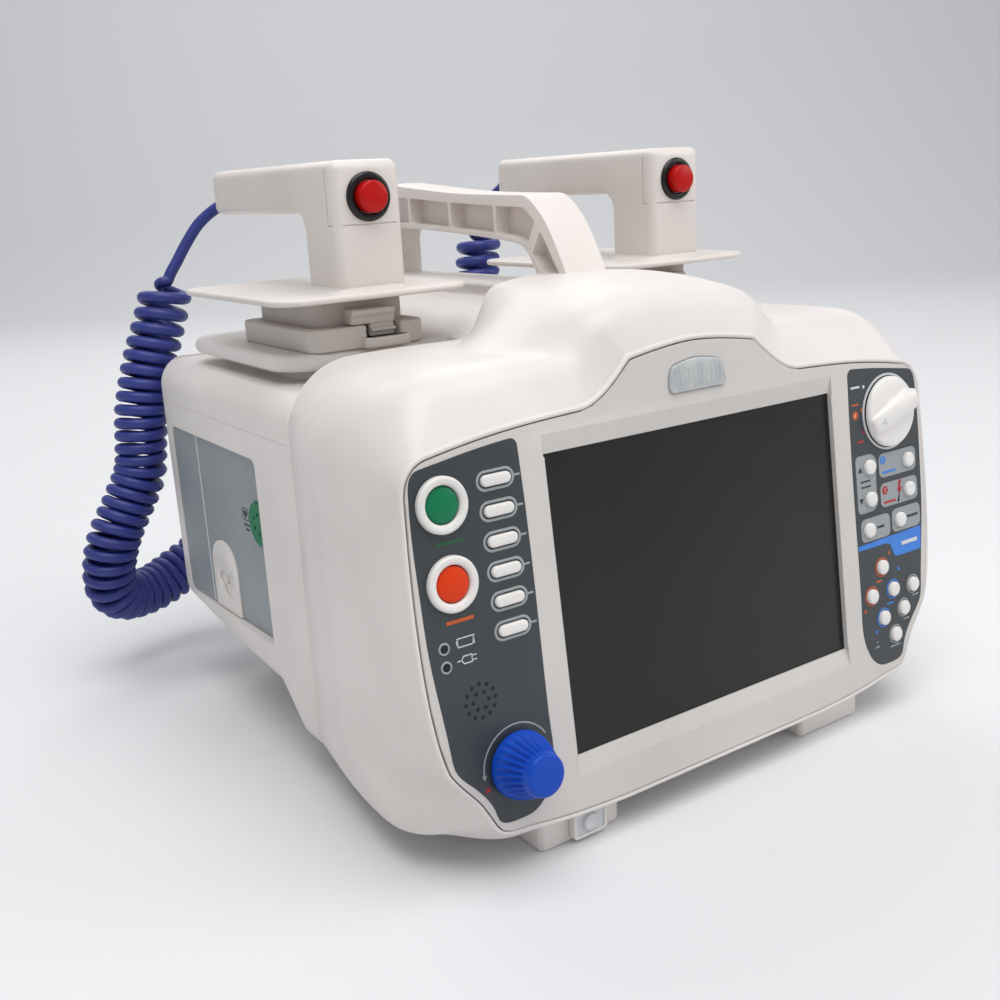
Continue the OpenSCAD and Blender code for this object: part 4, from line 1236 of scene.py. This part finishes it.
def make_handle():
    """A bridge over the top, hollowed from both sides between ribs."""
    crown = [tuple(p) for p in through([Vector(p) for p in HANDLE_TOP[:-1]], 5)] + [HANDLE_TOP[-1]]
    belly = [HANDLE_UNDER[0]] + [tuple(p) for p in through([Vector(p) for p in HANDLE_UNDER[1:]], 4)]
    half = HANDLE_W / 2
    obj = slab_piece("carry_handle_moulding", "handle", crown + belly, -half, half, sideways)
    bevelled(obj, 2.6, 5, 60)
    for side in (-1, 1):
        cutter = bmesh.new()
        for cell in HANDLE_CELLS:
            add_slab(cutter, rounded_corners(cell, 1.6), half - POCKET_DEPTH, half + 2,
                     lambda y, z, n, side=side: Vector((side * n, y, z)))
        cut(obj, cutter)
    reshade(obj, 40)
    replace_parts(obj, "carry_handle")


# ---- paddles ----


GUARD_T = 3.0
GUARD_AHEAD = 7.0  # how far the guard plate reaches in front of the column
GUARD_L = 128.0
GRIP_W = 35.0
GRIP_H = 22.8
COLUMN = 34.5
CAP_JOINT_Z = 259.0  # the height of the joint between the grip's column and its cap
GRIP_CURVE = 9  # the radius where the column bends into the grip


def make_paddle(side):
    body = side + "_paddle"
    low, high = box_mm(side + "_paddle_shell")
    mid_x = (low.x + high.x) / 2
    guard_top = low.z + GUARD_T
    front = low.y + GUARD_AHEAD
    make_grip(side, body, front, (low, high), lambda y, z, n: Vector((mid_x + n, y, z)))
    # Guard plate with a thin rounded rim, and a small fillet where the column stands on it
    outline = rounded(high.x - low.x, GUARD_L, 14, (mid_x, low.y + GUARD_L / 2), 10)
    guard = slab_piece(side + "_paddle_guard", "paddle", outline, low.z, guard_top, flat, body=body)
    bevelled(guard, 1.3, 4, 60, 40)
    rings = []
    for grow, up in ((2.6, -0.3), (1.9, 0.15), (1.0, 0.7), (0.35, 1.5), (0.0, 2.6)):
        ring = rounded(GRIP_W + 2 * grow, COLUMN + 2 * grow, 5 + grow, (mid_x, front + COLUMN / 2 + 0.3), 6)
        rings.append([flat(x, y, guard_top + up) for x, y in ring])
    loft_piece(side + "_paddle_fillet", "paddle", rings, body)
    make_paddle_block(side, mid_x, body)
    make_paddle_button(side, mid_x, body)


def make_grip(side, body, front, box, place):
    """The column and the grip on it, in one bent piece."""
    low, high = box
    foot = low.z + GUARD_T - 1
    under = high.z - GRIP_H
    outline = [(front, foot), (front, high.z), (high.y, high.z), (high.y, under)]
    outline += arc((COLUMN + GRIP_CURVE, under - GRIP_CURVE), GRIP_CURVE, 90, 180, 6) + [(COLUMN, foot)]
    grip = slab_piece(side + "_paddle_grip", "paddle", outline, -GRIP_W / 2, GRIP_W / 2, place, body=body)
    bevelled(grip, 4.6, 6, 40)
    cut_groove(grip, place, front, high.z)
    reshade(grip, 40)
    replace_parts(grip, side + "_paddle_shell")


def cut_groove(grip, place, front, top):
    """A fine groove where the button's cap joins the column: across the front, and up and over behind it."""
    deep = 0.35
    half = 0.2
    reach = 7.0
    out = GRIP_W / 2 + 1
    inside = GRIP_W / 2 - deep
    outer = [(-out, front - 1), (out, front - 1), (out, front + reach), (-out, front + reach)]
    inner = [(-inside, front + deep), (inside, front + deep), (inside, front + reach - 0.01),
             (-inside, front + reach - 0.01)]
    across = bmesh.new()
    add_slab(across, outer, CAP_JOINT_Z - half, CAP_JOINT_Z + half, lambda x, y, n: place(y, n, x), inner)
    cut(grip, across)
    arch = [(-out, CAP_JOINT_Z), (-inside, CAP_JOINT_Z), (-inside, top - deep), (inside, top - deep),
            (inside, CAP_JOINT_Z), (out, CAP_JOINT_Z), (out, top + 1), (-out, top + 1)]
    over = bmesh.new()
    add_slab(over, arch, front + reach - half, front + reach + half, lambda x, z, n: place(n, z, x))
    cut(grip, over)


def make_paddle_block(side, mid_x, body):
    low, high = box_mm(side + "_electrode_block")
    width = 48
    length = 66
    mid_y = 50
    levels = [(0.8, low.z), (0.0, low.z + 0.8), (0.0, high.z)]
    rings = []
    for inset, z in levels:
        outline = rounded(width - 2 * inset, length - 2 * inset, 5.5, (mid_x, mid_y), 8)
        rings.append([flat(x, y, z) for x, y in outline])
    core = loft_piece(side + "_electrode_core", "electrode", rings, body)
    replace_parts(core, side + "_electrode_block")
    # The hook over the socket's rim, and the tab that clips into its notch
    rim = box_mm("paddle_sockets")[1].z
    hook = [(18.0, rim + 0.4), (18.0, rim + 7.5), (8.6, rim + 7.5), (8.0, rim + 6.9), (8.0, rim + 5.0),
            (9.6, rim + 3.6), (9.6, rim + 0.4)]
    tab = [(18.0, rim + 1.0), (10.6, rim + 1.0), (10.6, rim - 1.6), (8.4, rim - 2.0), (8.4, rim - 3.4),
           (10.4, rim - 4.0), (10.4, rim - 5.7), (12.8, rim - 5.7), (12.8, rim - 1.0), (18.0, rim - 0.6)]
    stop = mid_x + 14
    for name, outline, start in (("hook", hook, mid_x - 9), ("tab", tab, mid_x + 1)):
        clip = slab_piece(side + "_socket_" + name, "socket", outline, start, stop, sideways, body=body)
        bevelled(clip, 0.5, 3, 40, 40)


def make_paddle_button(side, mid_x, body):
    low, high = box_mm(side + "_button_ring")
    axis_z = (low.z + high.z) / 2
    ring_r = (high.z - low.z) / 2

    def place(x, y, n):
        return Vector((mid_x + x, -n, axis_z + y))

    back = -4.8
    mouth_r = 7.45
    profile = [(mouth_r, back), (mouth_r, 0.6)] + arc((mouth_r + 1.15, 0.8), 1.15, 180, 90)
    profile += arc((ring_r - 1.6, 0.35), 1.6, 90, 0) + [(ring_r, back)]
    ring = loft_piece(side + "_button_ring_moulding", "black", turned(profile, place, 72), body, 50, True)
    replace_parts(ring, side + "_button_ring")
    radius = 7.1
    edge_r = 1.2
    edge_n = 5.3
    profile = [(radius, -4.5), (radius, edge_n)] + arc((radius - edge_r, edge_n), edge_r, 10, 80)
    profile += [(4.8, 6.7), (3.2, 6.86), (1.6, 6.96), (0, 7.0)]
    make_cap(side + "_paddle_button", "red", turned(profile, place, 72), 50)


# ---- sides, underside and rear ----


LABEL_T = 0.5
DIVIDER_Y = 112.0
HEART = (57.2, 121.0)
HEART_UNIT = 0.16


def heart_outline():
    points = []
    for i in range(40):
        a = 2 * math.pi * i / 40
        across = 16 * math.sin(a) ** 3
        up = 13 * math.cos(a) - 5 * math.cos(2 * a) - 2 * math.cos(3 * a) - math.cos(4 * a)
        points.append((HEART[0] + HEART_UNIT * across, HEART[1] + HEART_UNIT * up))
    return points


def make_side_details():
    """A pale line divides each label, and a framed heart and two words stand beside the socket."""
    repaint("side_labels", "label")
    bm = bmesh.new()
    for side in (-1, 1):
        add_slab(bm, oblong(DIVIDER_Y - 0.7, DIVIDER_Y + 0.7, 59.8, 153.2), LABEL_T - 0.3, LABEL_T + 0.08,
                 on_side(side))
    finish_piece("label_dividers", bm, "print_white")
    mid = (HEART[0], 120.8)
    signs = [(rounded(7.6, 6.4, 0.8, mid), rounded(6.8, 5.6, 0.5, mid)), (heart_outline(), None),
             (bar(56.6, 115.2, 6.4, 1.1), None), (bar(56.2, 112.8, 4.6, 1.1), None)]
    bm = bmesh.new()
    for outline, hole in signs:
        add_slab(bm, outline, 0.2, LABEL_T + 0.06, on_side(-1), hole)
    finish_piece("socket_signs", bm, "print_dark")
    repaint("ecg_socket", "green")
    soften("power_inlet", "tray", 0.5, 2)


def make_foot_latch():
    """A framed slider with a round finger dent."""
    low, high = box_mm("foot_latch")
    width = high.x - low.x
    height = high.z - low.z
    mid = (0, (high.z + low.z) / 2)
    face = low.y + 1.6
    dent_z = 8.6

    def place(x, z, n):
        return Vector(((low.x + high.x) / 2 + x, face - n, z))

    outline = rounded(width, height, 1.8, mid, 5)
    hole = rounded(width - 3.2, height - 3.2, 0.8, mid, 5)
    rim = slab_piece("foot_latch_frame", "tray", outline, face - high.y, 0.0, place, hole, "foot_latch")
    bevelled(rim, 0.4, 2, 50, 40)
    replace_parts(rim, "foot_latch")
    bm = bmesh.new()
    add_slab(bm, rounded(width - 3.0, height - 3.0, 0.8, mid, 5), face - high.y + 0.4, -0.7, place)
    add_lathe(bm, [(4.2, -1.0), (4.0, 0.4), (3.6, 0.9), (3.0, 0.95), (2.4, 0.6), (0, 0.4)],
              lambda x, y, n: place(x, y + dent_z, n), 48)
    finish_piece("foot_latch_slider", bm, "silver", "foot_latch")


def make_plain_pieces():
    """Feet and sockets get round edges, and the rest keep their CAD shapes with better materials."""
    for node, look, width in (("feet", "tray", 1.4), ("paddle_sockets", "socket", 1.2)):
        soften(node, look, width, 3)
    make_foot_latch()
    for node, look in (("case_screws", "steel"), ("speaker", "dark"), ("led_light_pipes", "dark"),
                       ("lcd_module", "black"), ("key_boards", "board"), ("rotary_switches", "black"),
                       ("main_board", "board"), ("battery", "wrap"), ("shock_capacitor", "metal"),
                       ("display_window", "screen"), ("panel_overlays", "overlay"), ("front_bezel", "bezel")):
        repaint(node, look)


def make_plugs():
    """Moulded plugs with grip rings and a ribbed sleeve where each cord leaves."""
    bm = bmesh.new()
    low, high = box_mm("cord_plugs")
    start = low.y + 6.0
    axis_z = (low.z + high.z) / 2
    profile = [(8.0, -3.0), (8.0, 3.0), (9.6, 3.0), (10.0, 3.4)]
    for i in range(4):
        y = 4.2 + 1.9 * i
        profile += [(10.0, y), (9.4, y + 0.3), (9.4, y + 0.9), (10.0, y + 1.2)]
    profile += [(10.0, 12.0), (8.6, 13.2)]
    for i in range(3):
        y = 13.6 + 1.9 * i
        r = 7.9 - 0.5 * i
        profile += [(r, y), (r, y + 1.0), (r - 0.9, y + 1.2), (r - 0.9, y + 1.6)]
    profile += [(6.0, 19.4), (3.3, 19.4)]
    for x in (low.x + 10, high.x - 10):
        add_lathe(bm, profile, lambda u, v, n, x=x: Vector((x + u, start + n, axis_z + v)), 56)
    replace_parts(finish_piece("cord_plug_pair", bm, "black"), "cord_plugs")


def make_grip_sleeve(side, lead):
    """The tapered sleeve where the cord leaves the grip, with a groove at every fourth point."""
    path = evenly(through([Vector(p) for p in lead]), 1.0)[:20]
    first = 5.6
    last = 3.6
    radii = []
    for i in range(len(path)):
        share = i / (len(path) - 1)
        groove = 0.35 if i % 4 == 3 else 0.0
        radii.append(first + (last - first) * share - groove)
    loft_piece(side + "_grip_sleeve", "cord", tube(path, radii, 24), side + "_paddle", 60)


LOOKS = make_materials()
make_camera()
make_cord("left", LEFT_LEAD, LEFT_COIL)
make_cord("right", RIGHT_LEAD, RIGHT_COIL)
make_plugs()
make_grip_sleeve("left", LEFT_LEAD)
make_grip_sleeve("right", RIGHT_LEAD)
make_studio()
make_front_shell()
make_rear_shell()
make_belly_box()
make_mould_lines()
make_button_rings()
make_push_button("print_button", PRINT, "green")
make_push_button("alarm_button", ALARM, "orange")
for key_name in ("energy_up_key", "energy_down_key", "charge_key", "shock_key", "sync_key", "ecg_key"):
    make_round_key(key_name)
for number in range(1, 8):
    make_round_key("pacer_key_%d" % number)
for number in range(1, 7):
    make_soft_key("soft_key_%d" % number)
make_encoder_knob()
make_mode_knob()
make_mode_marks()
make_lens()
make_left_prints()
make_energy_prints()
make_pacer_prints()
make_lamp_rims()
make_tray()
make_handle()
make_paddle("left")
make_paddle("right")
make_side_details()
make_plain_pieces()
